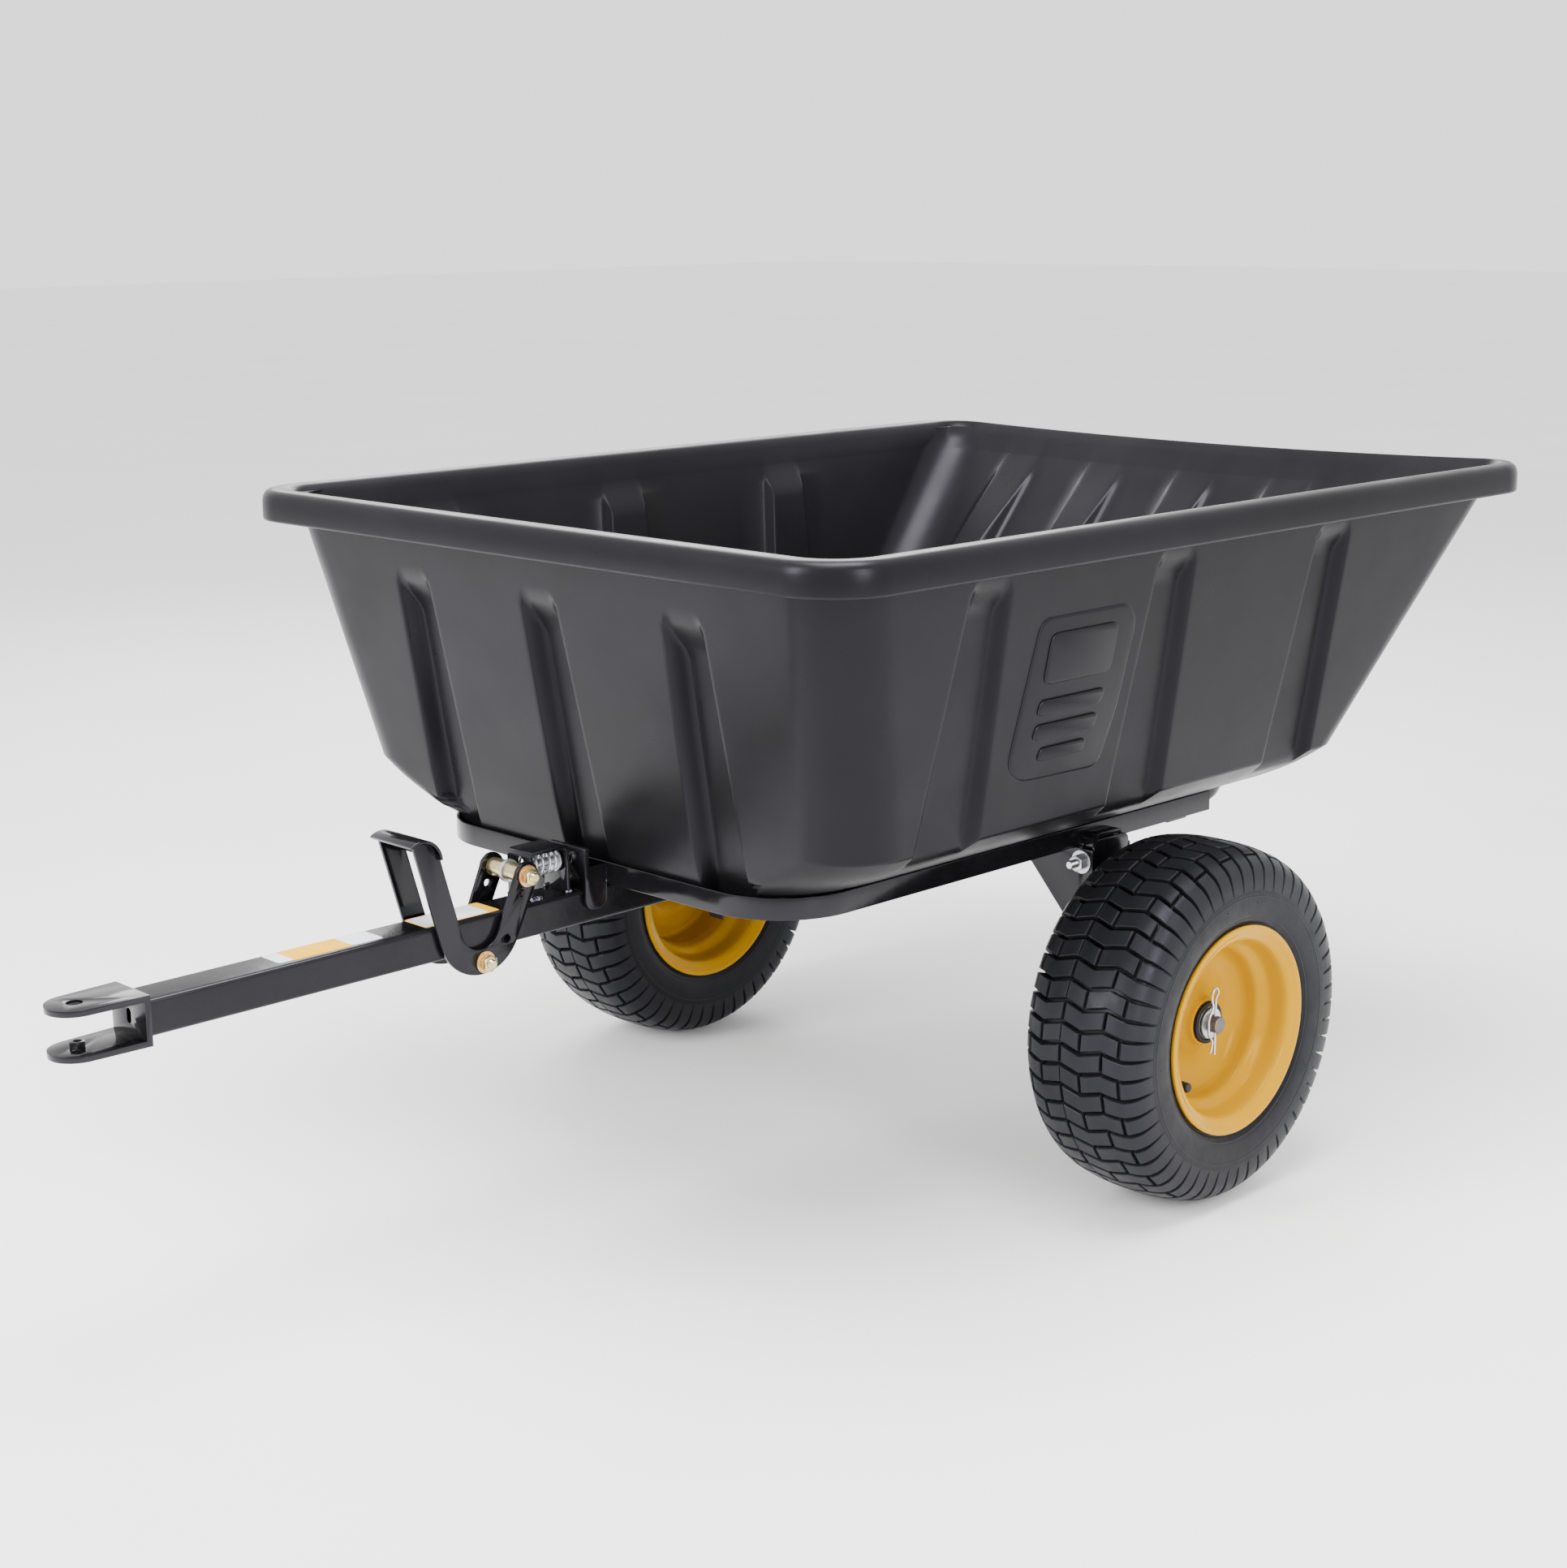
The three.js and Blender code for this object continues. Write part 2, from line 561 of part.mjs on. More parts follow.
function makeClevis() {
  const high = CLEVIS_TOP;
  const low = CLEVIS_BOTTOM;
  const back = TONGUE_FRONT - GAP;
  const front = CLEVIS_HOLE_Y - CLEVIS_TIP_R - 1;
  const side = cut(
    slabX(roundedOutline(front, back, low, high, 0), -CLEVIS_HALF, CLEVIS_HALF),
    slabX(roundedOutline(front - 1, back - CLEVIS_T, low + CLEVIS_T, high - CLEVIS_T, 0),
      -CLEVIS_HALF - 1, CLEVIS_HALF + 1),
  );
  const plan = new THREE.Shape();
  plan.moveTo(CLEVIS_HALF, back);
  plan.lineTo(-CLEVIS_HALF, back);
  plan.lineTo(-CLEVIS_TIP_R, CLEVIS_HOLE_Y);
  plan.absarc(0, CLEVIS_HOLE_Y, CLEVIS_TIP_R, Math.PI, Math.PI * 2);
  plan.closePath();
  const topHole = bar('z', HITCH_HOLE_R, high - 8, high + 2, [0, CLEVIS_HOLE_Y], HOLE_FACETS);
  const lowHole = bar('z', HITCH_NUT_R + GAP, low - 2, low + 8, [0, CLEVIS_HOLE_Y]);
  const middle = (TONGUE_TOP + TONGUE_BOTTOM) / 2;
  const slot = slabY(roundedOutline(-4, 4, middle - 7.5, middle + 7.5, 4), back - 10, back + 2);
  return cut(side.intersect(slabZ(plan, low, high, 14)), topHole, lowHole, slot);
}

function makeLatchBracket() {
  const foot = TONGUE_TOP + GAP;
  const hood = cut(
    slabX(roundedOutline(BRACKET_FRONT, BRACKET_REAR, foot, BRACKET_TOP, 0, 7),
      BRACKET_RIGHT, BRACKET_LEFT),
    slabX(roundedOutline(BRACKET_FRONT + BRACKET_T, BRACKET_REAR - BRACKET_T,
      foot - 1, BRACKET_TOP - BRACKET_T, 0, 3), BRACKET_RIGHT - 1, BRACKET_LEFT + 1),
  );
  const hole = PIN_R + 1.8;
  const front = slabY(roundedOutline(-hole, hole, LATCH_Z - hole, LATCH_Z + 2 * hole, hole - 0.1),
    BRACKET_FRONT - 1, BRACKET_FRONT + BRACKET_T + 1);
  const rear = bar('y', hole, BRACKET_REAR - BRACKET_T - 1, BRACKET_REAR + 1, [0, LATCH_Z], HOLE_FACETS);
  return cut(hood, front, rear);
}

// ---- spring-loaded latch pin, hung on the lever's upper bolt by its eye ----
const SPRING_REAR = BRACKET_REAR - BRACKET_T - 4.5;
function makeLatchPin() {
  const eye = ring('x', PIN_EYE_R, LEVER_R + GAP, -PIN_EYE_HALF, PIN_EYE_HALF, [LATCH_Y, LATCH_Z]);
  const rod = bar('y', PIN_R, LATCH_Y + PIN_EYE_R - 2, KEEPER_Y - 1, [0, LATCH_Z]);
  put('latch_pin', join(eye, rod), 'zinc');
  put('spring_collar', ring('y', 12.4, PIN_R + GAP, SPRING_REAR, SPRING_REAR + 2, [0, LATCH_Z]),
    'zinc');
}

function makeSpring() {
  const turns = 4.5;
  const start = BRACKET_FRONT + BRACKET_T + 3;
  const end = SPRING_REAR - 3;
  const steps = Math.round(turns * 9);
  const points = Array.from({ length: steps + 1 }, (_, i) => {
    const a = (i / steps) * turns * Math.PI * 2;
    return [Math.cos(a) * SPRING_R, mix(start, end, i / steps), LATCH_Z + Math.sin(a) * SPRING_R];
  });
  return wire(points, SPRING_WIRE_R, steps, 5);
}

// ---- foot lever ----
// plate outline: a strap bent round the pivot, one arm up to the tread, one up to the latch bolt
const BEND = { y: -675, z: 370, r: 38.5 };
const TREAD = { y: -748, z: 450, r: 25, t: 3, from: 0.03, to: 2.2 };
const TREAD_ARM = 125;
const SPARE_HOLE = [-642, 350];
const SPARE_HOLE_R = 4.5;
const LEVER_ARC = 14;

function leverOutline() {
  const half = LEVER_WIDTH / 2;
  const frontArm = new THREE.Vector2(-0.27, 0.963).normalize();
  const rearArm = new THREE.Vector2(0.415, 0.91).normalize();
  const frontNormal = new THREE.Vector2(-frontArm.y, frontArm.x);
  const rearNormal = new THREE.Vector2(rearArm.y, -rearArm.x);
  const frontAngle = frontNormal.angle();
  const rearAngle = rearNormal.angle();
  const top = new THREE.Vector2(BEND.y, BEND.z)
    .addScaledVector(frontNormal, BEND.r)
    .addScaledVector(frontArm, TREAD_ARM);
  const beside = (k) => [top.x + frontNormal.x * k, top.y + frontNormal.y * k];
  const s = new THREE.Shape();
  s.moveTo(...beside(half));
  s.absarc(BEND.y, BEND.z, BEND.r + half, frontAngle, rearAngle, false);
  s.absarc(LATCH_Y, LATCH_Z, half + 1.5, rearAngle, rearAngle + Math.PI, false);
  s.absarc(BEND.y, BEND.z, BEND.r - half, rearAngle, frontAngle, true);
  s.lineTo(...beside(-half));
  s.closePath();
  return s;
}

function arcStrip(outer, inner, from, to) {
  const s = new THREE.Shape();
  s.absarc(TREAD.y, TREAD.z, outer, from, to, false);
  s.absarc(TREAD.y, TREAD.z, inner, to, from, true);
  s.closePath();
  return s;
}

function makeLever() {
  const outer = LEVER_X + LEVER_T;
  const underTread = TREAD.r - TREAD.t - GAP;
  const pivot = [PIVOT_Y, PIVOT_Z];
  const latch = [LATCH_Y, LATCH_Z];
  const throughPlate = (radius, centre) => bar('x', radius, LEVER_X - 1, outer + 1, centre);
  const plate = cut(
    slabX(leverOutline(), LEVER_X, outer, LEVER_ARC),
    slabX(arcStrip(underTread + 50, underTread, TREAD.from - 0.08, TREAD.to + 0.6),
      LEVER_X - 1, outer + 1, LEVER_ARC),
    throughPlate(LEVER_R + GAP, pivot),
    throughPlate(LEVER_R + GAP, latch),
    throughPlate(SPARE_HOLE_R, SPARE_HOLE),
  );
  const bushing = ring('x', 10, LEVER_R + GAP, PIN_EYE_HALF + 0.4, LEVER_X - GAP, latch);
  sides.forEach(([side, sign]) => {
    put(`pedal_plate_${side}`, onSide(plate, sign), 'powder');
    put(`latch_bushing_${side}`, onSide(bushing, sign), 'goldzinc');
  });
  const tread = arcStrip(TREAD.r, TREAD.r - TREAD.t, TREAD.from, TREAD.to);
  put('foot_tread', slabX(tread, -TREAD_HALF, TREAD_HALF, LEVER_ARC), 'powder');
  const face = outer + WASHER_ROOM;
  const [head, tip] = [-face - 6.5, face + 12];
  put('latch_bolt', bolt('x', LEVER_R, 16, -face, head, tip, latch), 'goldzinc');
  put('latch_nut', nut('x', LEVER_R, 16, face, face + 8, latch), 'goldzinc');
  put('pedal_pivot_bolt', bolt('x', LEVER_R, 16, -face, head, tip, pivot), 'goldzinc');
  put('pedal_pivot_nut', nut('x', LEVER_R, 16, face, face + 8, pivot), 'goldzinc');
  const sleeve = LEVER_X - 0.5;
  put('pedal_pivot_bushing', ring('x', 9.7, LEVER_R + GAP, -sleeve, sleeve, pivot), 'powder');
}

// ---- wheels ----
// wheel sections as [distance from the wheel's middle, radius]
const flip = (list) => list.map(([x, r]) => [-x, r]);

function rimProfile() {
  const flange = [[76, 118.4], [76, 115], [70.8, 104], [64, 98.8], [42, 95], [36, 85]];
  const flangeSeat = [[70.2, 118.4], [67.9, 106], [64, 101.6], [40, 98], [34, 88]];
  const disc = [[15, 82], [8, 66], [8, 40], [14, 30], [14, 22.4], [11, 22.4], [11, 29], [5, 38], [5, 66]];
  return [...flange, ...disc, ...flip(flange).reverse(), ...flip(flangeSeat), ...flangeSeat.reverse()];
}

function tyreProfile() {
  const outside = [
    [67.4, 106.5], [69.2, 119], [76, 124], [79, 146], [78, 168], [74, 184], [64, 194], [42, 200],
    [0, AXLE_Z],
  ];
  const inside = [[64.5, 102.4], [58, 103], [61, 122], [69, 146], [66, 172], [50, 186]];
  return [...outside, ...flip(outside).reverse(), ...flip(inside), ...inside.reverse()];
}

// the valve sits in the slope of the rim's well and points outwards
const VALVE = [-72, AXLE_Z - 51.4];
const VALVE_R = 4;
const VALVE_SHOULDER_R = 5.2;
const HUB = { r: 22, bore: 15.6, inner: -45, outer: 31 };
const BEARING_R = 24;

function makeWheel(side, sign) {
  const x = TRACK / 2;
  const rim = cut(
    lathe(rimProfile(), x, WHEEL_FACETS),
    bar('x', VALVE_R + GAP, x + 33, x + 47, VALVE),
  );
  const valve = join(
    bar('x', VALVE_R, x + 34, x + 59, VALVE),
    bar('x', VALVE_SHOULDER_R, x + 44, x + 48, VALVE),
  );
  put(`tyre_${side}`, onSide(lathe(tyreProfile(), x, WHEEL_FACETS), sign), 'rubber');
  put(`rim_${side}`, onSide(rim, sign), 'yellow');
  put(`valve_stem_${side}`, onSide(valve, sign), 'seal');
  const hub = ring('x', HUB.r, HUB.bore, x + HUB.inner, x + HUB.outer, [0, AXLE_Z]);
  put(`hub_${side}`, onSide(hub, sign), 'yellow');
  const face = x + HUB.outer + GAP;
  const bearing = join(
    ring('x', BEARING_R, STUB_R + GAP, face, face + 4.2, [0, AXLE_Z]),
    ring('x', HUB.bore - GAP, STUB_R + GAP, x + HUB.inner + 5, face + 2, [0, AXLE_Z]),
  );
  put(`hub_bearing_${side}`, onSide(bearing, sign), 'seal');
}

// ---- assembly ----
put('tub', makeTub(), 'poly');
put('bed_frame', makeBedFrame(), 'powder');
put('rear_crossbar', block(-CROSSBAR.half, CROSSBAR.half, CROSSBAR.front, CROSSBAR.rear,
  FRAME_Z - CROSSBAR.t - GAP, FRAME_Z - GAP), 'powder');
put('latch_saddle', makeSaddle(), 'powder');
makeTubBolts();
makeUndercarriage();
makeTiltHinge();
put('tongue_tube', makeTongue(), 'powder');
put('hitch_clevis', makeClevis(), 'powder');
put('clevis_nut', nut('z', HITCH_NUT_R, 14, TONGUE_BOTTOM + GAP, TONGUE_BOTTOM + 7,
  [0, CLEVIS_HOLE_Y]), 'powder');
put('latch_bracket', makeLatchBracket(), 'powder');
put('latch_spring', makeSpring(), 'zinc');
makeLatchPin();
makeLever();
sides.forEach(([side, sign]) => makeWheel(side, sign));

// centre the overall length on y = 0
const HITCH_TIP = CLEVIS_HOLE_Y - CLEVIS_TIP_R;
group.position.y = -(HITCH_TIP + RIM_REAR) / 2;

export default group;
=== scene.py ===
"""Tow-behind dump cart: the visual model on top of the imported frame. Metres, +Z up, -Y towards the hitch."""
import json
import math

import bmesh
import bpy
import numpy as np
from mathutils import Matrix, Vector


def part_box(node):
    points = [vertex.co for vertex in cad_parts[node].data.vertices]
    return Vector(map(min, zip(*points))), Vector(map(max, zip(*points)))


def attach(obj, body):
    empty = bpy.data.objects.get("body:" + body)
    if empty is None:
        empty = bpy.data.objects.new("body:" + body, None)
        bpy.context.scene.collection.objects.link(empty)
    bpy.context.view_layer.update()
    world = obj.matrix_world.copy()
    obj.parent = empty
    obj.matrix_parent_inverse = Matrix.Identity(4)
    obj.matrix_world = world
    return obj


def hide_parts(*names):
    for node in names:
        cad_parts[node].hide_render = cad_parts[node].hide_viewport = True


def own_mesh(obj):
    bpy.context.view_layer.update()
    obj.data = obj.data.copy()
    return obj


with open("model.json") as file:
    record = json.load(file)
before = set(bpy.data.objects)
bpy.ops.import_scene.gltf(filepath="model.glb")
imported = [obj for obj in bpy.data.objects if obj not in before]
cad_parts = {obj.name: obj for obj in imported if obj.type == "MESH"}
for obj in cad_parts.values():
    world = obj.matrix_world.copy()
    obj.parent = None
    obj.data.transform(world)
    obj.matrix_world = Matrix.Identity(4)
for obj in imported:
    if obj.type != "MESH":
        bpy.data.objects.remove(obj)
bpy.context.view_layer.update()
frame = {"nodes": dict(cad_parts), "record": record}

MM = 0.001
NODES = frame["nodes"]
BODY_OF = {n: b for b, ns in frame["record"]["behaviour"]["bodies"].items() for n in ns}
SLOT_OF = {s["node"]: s["material_slot"] for s in frame["record"]["subparts"]}
SIDES = (("left", 1), ("right", -1))


def middle(node):
    low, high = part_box(node)
    return (low + high) / 2


AXLE = middle("tyre_left")            # its y and z are the wheel axis
AXLE_Y, AXLE_Z = AXLE.y, AXLE.z
PIVOT = middle("pedal_pivot_bushing")
LATCH = middle("latch_bushing_left")
TILT = middle("tilt_bushing")


# ---------------------------------------------------------------- camera, light and floor
def make_camera():
    azimuth, pitch, roll = (math.radians(a) for a in (45.783, 13.03, -0.602))
    back = Vector((math.sin(azimuth) * math.cos(pitch), -math.cos(azimuth) * math.cos(pitch), math.sin(pitch)))
    right = Vector((math.cos(azimuth), math.sin(azimuth), 0))
    up = back.cross(right)
    turned_right = right * math.cos(roll) + up * math.sin(roll)
    turned_up = up * math.cos(roll) - right * math.sin(roll)
    data = bpy.data.cameras.new("camera")
    data.sensor_width = 36
    data.lens = 58.32
    camera = bpy.data.objects.new("camera", data)
    turn = Matrix((turned_right, turned_up, back)).transposed().to_4x4()
    camera.matrix_world = Matrix.Translation((2.0606, -1.9424, 1.1023)) @ turn
    bpy.context.scene.collection.objects.link(camera)
    bpy.context.scene.camera = camera


def area_light(name, place, aim, width, height, power):
    data = bpy.data.lights.new(name, "AREA")
    data.shape = "RECTANGLE"
    data.size = width
    data.size_y = height
    data.energy = power
    light = bpy.data.objects.new(name, data)
    light.location = place
    light.rotation_euler = (Vector(aim) - Vector(place)).to_track_quat("-Z", "Y").to_euler()
    bpy.context.scene.collection.objects.link(light)


def make_studio():
    area_light("softbox_top", (0.4, -0.2, 3.0), (0, 0, 0.4), 1.7, 1.7, 190)
    area_light("softbox_front", (-0.9, -3.6, 2.2), (0, -0.1, 0.5), 1.1, 2.2, 200)
    area_light("softbox_side", (3.3, -0.6, 1.6), (0.2, 0.1, 0.4), 0.9, 1.8, 85)
    area_light("softbox_far", (-2.8, 2.4, 2.4), (0, 0.2, 0.6), 2.6, 1.6, 90)
    world = bpy.data.worlds.new("studio")
    world.use_nodes = True
    background = world.node_tree.nodes["Background"]
    background.inputs["Color"].default_value = (1, 1, 1, 1)
    background.inputs["Strength"].default_value = 1.75
    bpy.context.scene.world = world
    bpy.ops.mesh.primitive_plane_add(size=60)
    floor = bpy.context.object
    floor.name = "floor"
    floor.data.materials.append(surface(
        "floor_paper", (0.88, 0.88, 0.88), (0.91, 0.91, 0.91), (0.6, 0.7), patch=1.5, grain=300,
        specular=0.3))


# ---------------------------------------------------------------- materials
class Shader:
    """A material's node tree, with short ways to add and link nodes."""

    def __init__(self, name):
        self.material = bpy.data.materials.new(name)
        self.material.use_nodes = True
        self.tree = self.material.node_tree
        self.out = self.tree.nodes["Principled BSDF"]
        self.place = self.node("ShaderNodeTexCoord").outputs["Object"]

    def node(self, kind, **inputs):
        made = self.tree.nodes.new(kind)
        for key, value in inputs.items():
            socket = made.inputs[key.replace("_", " ")] if isinstance(key, str) else made.inputs[key]
            if hasattr(value, "links"):
                self.tree.links.new(value, socket)
            else:
                socket.default_value = value
        return made

    def link(self, source, target):
        self.tree.links.new(source, target)

    def noise(self, scale, detail=4, stretch=None, roughness=0.55):
        place = self.place
        if stretch:
            place = self.node("ShaderNodeMapping", Vector=place, Scale=stretch).outputs["Vector"]
        return self.node("ShaderNodeTexNoise", Vector=place, Scale=scale, Detail=detail,
                         Roughness=roughness).outputs["Fac"]

    def ramp(self, value, low, high, first=(0, 0, 0), second=(1, 1, 1)):
        made = self.node("ShaderNodeValToRGB", Fac=value)
        made.color_ramp.elements[0].position = low
        made.color_ramp.elements[1].position = high
        made.color_ramp.elements[0].color = (*first, 1)
        made.color_ramp.elements[1].color = (*second, 1)
        return made.outputs["Color"]

    def blend(self, share, below, above):
        made = self.tree.nodes.new("ShaderNodeMix")
        made.data_type = "RGBA"
        self.link(share, made.inputs["Factor"])
        for socket, value in ((made.inputs[6], below), (made.inputs[7], above)):
            if hasattr(value, "links"):
                self.link(value, socket)
            else:
                socket.default_value = (*value, 1)
        return made.outputs[2]

    def bump(self, height, distance, strength, below=None):
        made = self.node("ShaderNodeBump", Height=height, Distance=distance, Strength=strength)
        if below:
            self.link(below, made.inputs["Normal"])
        return made.outputs["Normal"]


def surface(name, dark, light, rough, metallic=0.0, patch=8, grain=700, grain_depth=0.00006, wave=0,
            wave_depth=0.0004, scuff=None, scuff_from=0.66, stretch=(1, 1, 1), edge=None, coat=0.0,
            specular=0.5, tint=None, sheen=(1, 1, 1)):
    """A finish with colour patches, uneven gloss, grain, and optional scuffs, edges lightened for wear and painted
    highlight, and second tint.
    """
    s = Shader(name)
    colour = s.ramp(s.noise(patch), 0.35, 0.68, dark, light)
    if tint:
        colour = s.blend(s.ramp(s.noise(patch * 3.1, 2), 0.45, 0.62), colour, tint)
    if scuff:
        marks = s.ramp(s.noise(patch * 9, 6, (1, 9, 2.2), 0.75), scuff_from, scuff_from + 0.1)
        colour = s.blend(marks, colour, scuff)
    if edge:
        # sharp edges get a lighter colour: partly wear, partly a painted highlight
        worn_and_highlit_edges = s.ramp(s.node("ShaderNodeNewGeometry").outputs["Pointiness"], 0.53, 0.62)
        colour = s.blend(worn_and_highlit_edges, colour, edge)
    s.link(colour, s.out.inputs["Base Color"])
    gloss = s.node("ShaderNodeMapRange", Value=s.noise(patch * 4.3, 6))
    gloss.inputs["From Min"].default_value = 0.3
    gloss.inputs["From Max"].default_value = 0.7
    gloss.inputs["To Min"].default_value = rough[0]
    gloss.inputs["To Max"].default_value = rough[1]
    s.link(gloss.outputs["Result"], s.out.inputs["Roughness"])
    normal = s.bump(s.noise(wave, 2), wave_depth, 0.5) if wave else None
    normal = s.bump(s.noise(grain, 3, stretch), grain_depth, 0.6, normal)
    s.link(normal, s.out.inputs["Normal"])
    s.out.inputs["Metallic"].default_value = metallic
    s.out.inputs["Coat Weight"].default_value = coat
    s.out.inputs["Coat Roughness"].default_value = 0.12
    s.out.inputs["Specular IOR Level"].default_value = specular
    s.out.inputs["Specular Tint"].default_value = (*sheen, 1)
    return s.material


def make_materials():
    return {
        # the tub's lighter edge colour is a painted highlight along the lip and moulded edges, partly dust
        "tub_poly": surface(
            "tub_poly", (0.0042, 0.0040, 0.0048), (0.0070, 0.0066, 0.0080), (0.26, 0.38), patch=3.2,
            grain=1100, wave=8, wave_depth=0.0012, scuff=(0.018, 0.0175, 0.02), scuff_from=0.72,
            edge=(0.02, 0.0195, 0.024), specular=0.13, sheen=(0.9, 0.86, 1)),
        "tyre_rubber": surface(
            "tyre_rubber", (0.0034, 0.0034, 0.0041), (0.0064, 0.0064, 0.0073), (0.3, 0.46), patch=14,
            grain=1600, grain_depth=0.00005, wave=60, wave_depth=0.0003, scuff=(0.02, 0.019, 0.018),
            scuff_from=0.68, edge=(0.018, 0.018, 0.021), specular=0.15, sheen=(0.86, 0.86, 1)),
        "rim_paint": surface(
            "rim_paint", (0.40, 0.196, 0.0), (0.45, 0.226, 0.0), (0.14, 0.22), patch=7, grain=420,
            grain_depth=0.00003, wave=26, wave_depth=0.0003, scuff=(0.3, 0.155, 0.0005), scuff_from=0.74,
            edge=(0.5, 0.27, 0.0), coat=0.04, specular=0.12, sheen=(1, 0.6, 0.1)),
        "black_rubber": surface(
            "black_rubber", (0.004, 0.004, 0.005), (0.008, 0.008, 0.009), (0.4, 0.55), patch=60,
            grain=2500, edge=(0.02, 0.02, 0.02), specular=0.2),
        "bare_steel": surface(
            "bare_steel", (0.10, 0.09, 0.085), (0.18, 0.165, 0.155), (0.3, 0.45), 0.9, patch=45,
            grain=900, stretch=(3, 1, 1), scuff=(0.08, 0.06, 0.05), edge=(0.34, 0.32, 0.30)),
        "yellow_zinc": surface(
            "yellow_zinc", (0.50, 0.40, 0.17), (0.62, 0.55, 0.32), (0.2, 0.3), 0.95, patch=70,
            grain=1300, grain_depth=0.00002, stretch=(1, 4, 1), tint=(0.52, 0.47, 0.30)),
        "rosy_zinc": surface(
            "rosy_zinc", (0.56, 0.24, 0.11), (0.62, 0.33, 0.18), (0.24, 0.34), 0.9, patch=70,
            grain=1300, grain_depth=0.00002, stretch=(1, 4, 1), tint=(0.58, 0.42, 0.16)),
        "white_zinc": surface(
            "white_zinc", (0.42, 0.43, 0.46), (0.56, 0.57, 0.60), (0.28, 0.38), 0.9, patch=60,
            grain=1300, grain_depth=0.00002, stretch=(1, 5, 1), edge=(0.68, 0.69, 0.71)),
        "black_powder_coat": surface(
            "black_powder_coat", (0.0026, 0.0025, 0.0032), (0.0050, 0.0048, 0.0058), (0.1, 0.19),
            patch=11, grain=520, grain_depth=0.00005, wave=45, wave_depth=0.0003,
            scuff=(0.02, 0.02, 0.021), scuff_from=0.72, edge=(0.022, 0.022, 0.026), coat=0.12,
            specular=0.2, sheen=(0.92, 0.9, 1)),
        "tongue_coat": surface(
            "tongue_coat", (0.0026, 0.0025, 0.0032), (0.0050, 0.0048, 0.0058), (0.18, 0.3), patch=11,
            grain=520, grain_depth=0.00007, wave=45, wave_depth=0.0003, scuff=(0.13, 0.13, 0.13),
            scuff_from=0.665, edge=(0.02, 0.02, 0.024), coat=0.05, specular=0.18, sheen=(0.92, 0.9, 1)),
        "weld": surface(
            "weld", (0.020, 0.016, 0.028), (0.07, 0.058, 0.095), (0.08, 0.2), 0.6, patch=180,
            grain=700, grain_depth=0.0002, wave=260, wave_depth=0.0004, edge=(0.16, 0.15, 0.2), coat=0.6),
        "label_yellow": surface(
            "label_yellow", (0.66, 0.34, 0.006), (0.74, 0.40, 0.01), (0.6, 0.75), patch=40, grain=900,
            scuff=(0.34, 0.2, 0.04), scuff_from=0.7, specular=0.12),
        "label_white": surface(
            "label_white", (0.56, 0.58, 0.63), (0.64, 0.66, 0.70), (0.6, 0.75), patch=40, grain=900,
            scuff=(0.26, 0.27, 0.30), scuff_from=0.7, specular=0.12),
    }


# ---------------------------------------------------------------- mesh helpers
class Form:
    """Vertices and faces of one piece, gathered from several closed shapes."""

    def __init__(self):
        self.verts = []
        self.faces = []

    def add(self, verts, faces):
        first = len(self.verts)
        self.verts += [tuple(v) for v in verts]
        self.faces += [tuple(first + i for i in f) for f in faces]
        return self

    def flip(self, sign):
        if sign < 0:
            self.verts = [(-x, y, z) for x, y, z in self.verts]
        return self

    def make(self, name, body, slot, *nodes, look=None, sharp=32):
        mesh = bpy.data.meshes.new(name)
        mesh.from_pydata(self.verts, [], self.faces)
        bm = bmesh.new()
        bm.from_mesh(mesh)
        bmesh.ops.remove_doubles(bm, verts=bm.verts, dist=1e-6)
        bmesh.ops.recalc_face_normals(bm, faces=bm.faces)
        bm.to_mesh(mesh)
        bm.free()
        mesh.shade_smooth()
        mesh.set_sharp_from_angle(angle=math.radians(sharp))
        mesh.materials.append(MATERIALS[look or slot])
        obj = bpy.data.objects.new(name, mesh)
        bpy.context.scene.collection.objects.link(obj)
        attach(obj, body)
        if nodes:
            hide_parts(*nodes)
        return obj


def at(axis, centre, u, a, b):
    """The point u along an axis and (a, b) from it; centre gives the axis's two other coordinates."""
    if axis == "x":
        return (u, centre[0] + a, centre[1] + b)
    if axis == "y":
        return (centre[0] + a, u, centre[1] + b)
    return (centre[0] + a, centre[1] + b, u)


def soften(points, radius, closed=True, steps=3):
    """A polyline with its corners rounded off."""
    pts = [Vector(p) for p in points]
    out = []
    for i, p in enumerate(pts):
        if not closed and i in (0, len(pts) - 1):
            out.append(tuple(p))
            continue
        before, after = pts[i - 1], pts[(i + 1) % len(pts)]
        reach = min(radius, (before - p).length * 0.45, (after - p).length * 0.45)
        a = p + (before - p).normalized() * reach
        b = p + (after - p).normalized() * reach
        for k in range(steps + 1):
            t = k / steps
            out.append(tuple(a * (1 - t) ** 2 + p * 2 * t * (1 - t) + b * t ** 2))
    return out


def grid_faces(rows, columns, wrap_rows=False, wrap_columns=True):
    """Quads between points kept row after row."""
    faces = []
    for i in range(rows if wrap_rows else rows - 1):
        for j in range(columns if wrap_columns else columns - 1):
            a, b = i * columns + j, i * columns + (j + 1) % columns
            step = (i + 1) % rows * columns
            faces.append((a, b, step + (j + 1) % columns, step + j))
    return faces


def revolve(profile, axis, centre, segments=64, closed=True):
    """A closed section (u, r) turned about an axis."""
    turns = [2 * math.pi * k / segments for k in range(segments)]
    verts = [at(axis, centre, u, r * math.cos(t), r * math.sin(t)) for u, r in profile for t in turns]
    return verts, grid_faces(len(profile), segments, wrap_rows=closed)


def solid_turned(profile, axis, centre, segments=64):
    """An open section (u, r) turned about an axis and closed with a flat cap at each end."""
    verts, faces = revolve(profile, axis, centre, segments, closed=False)
    last = len(verts) - segments
    return verts, faces + [tuple(range(segments)), tuple(range(last, last + segments))]


def ring_section(u0, u1, bore, outer, chamfer=0.0006):
    return soften([(u0, bore), (u0, outer), (u1, outer), (u1, bore)], chamfer)


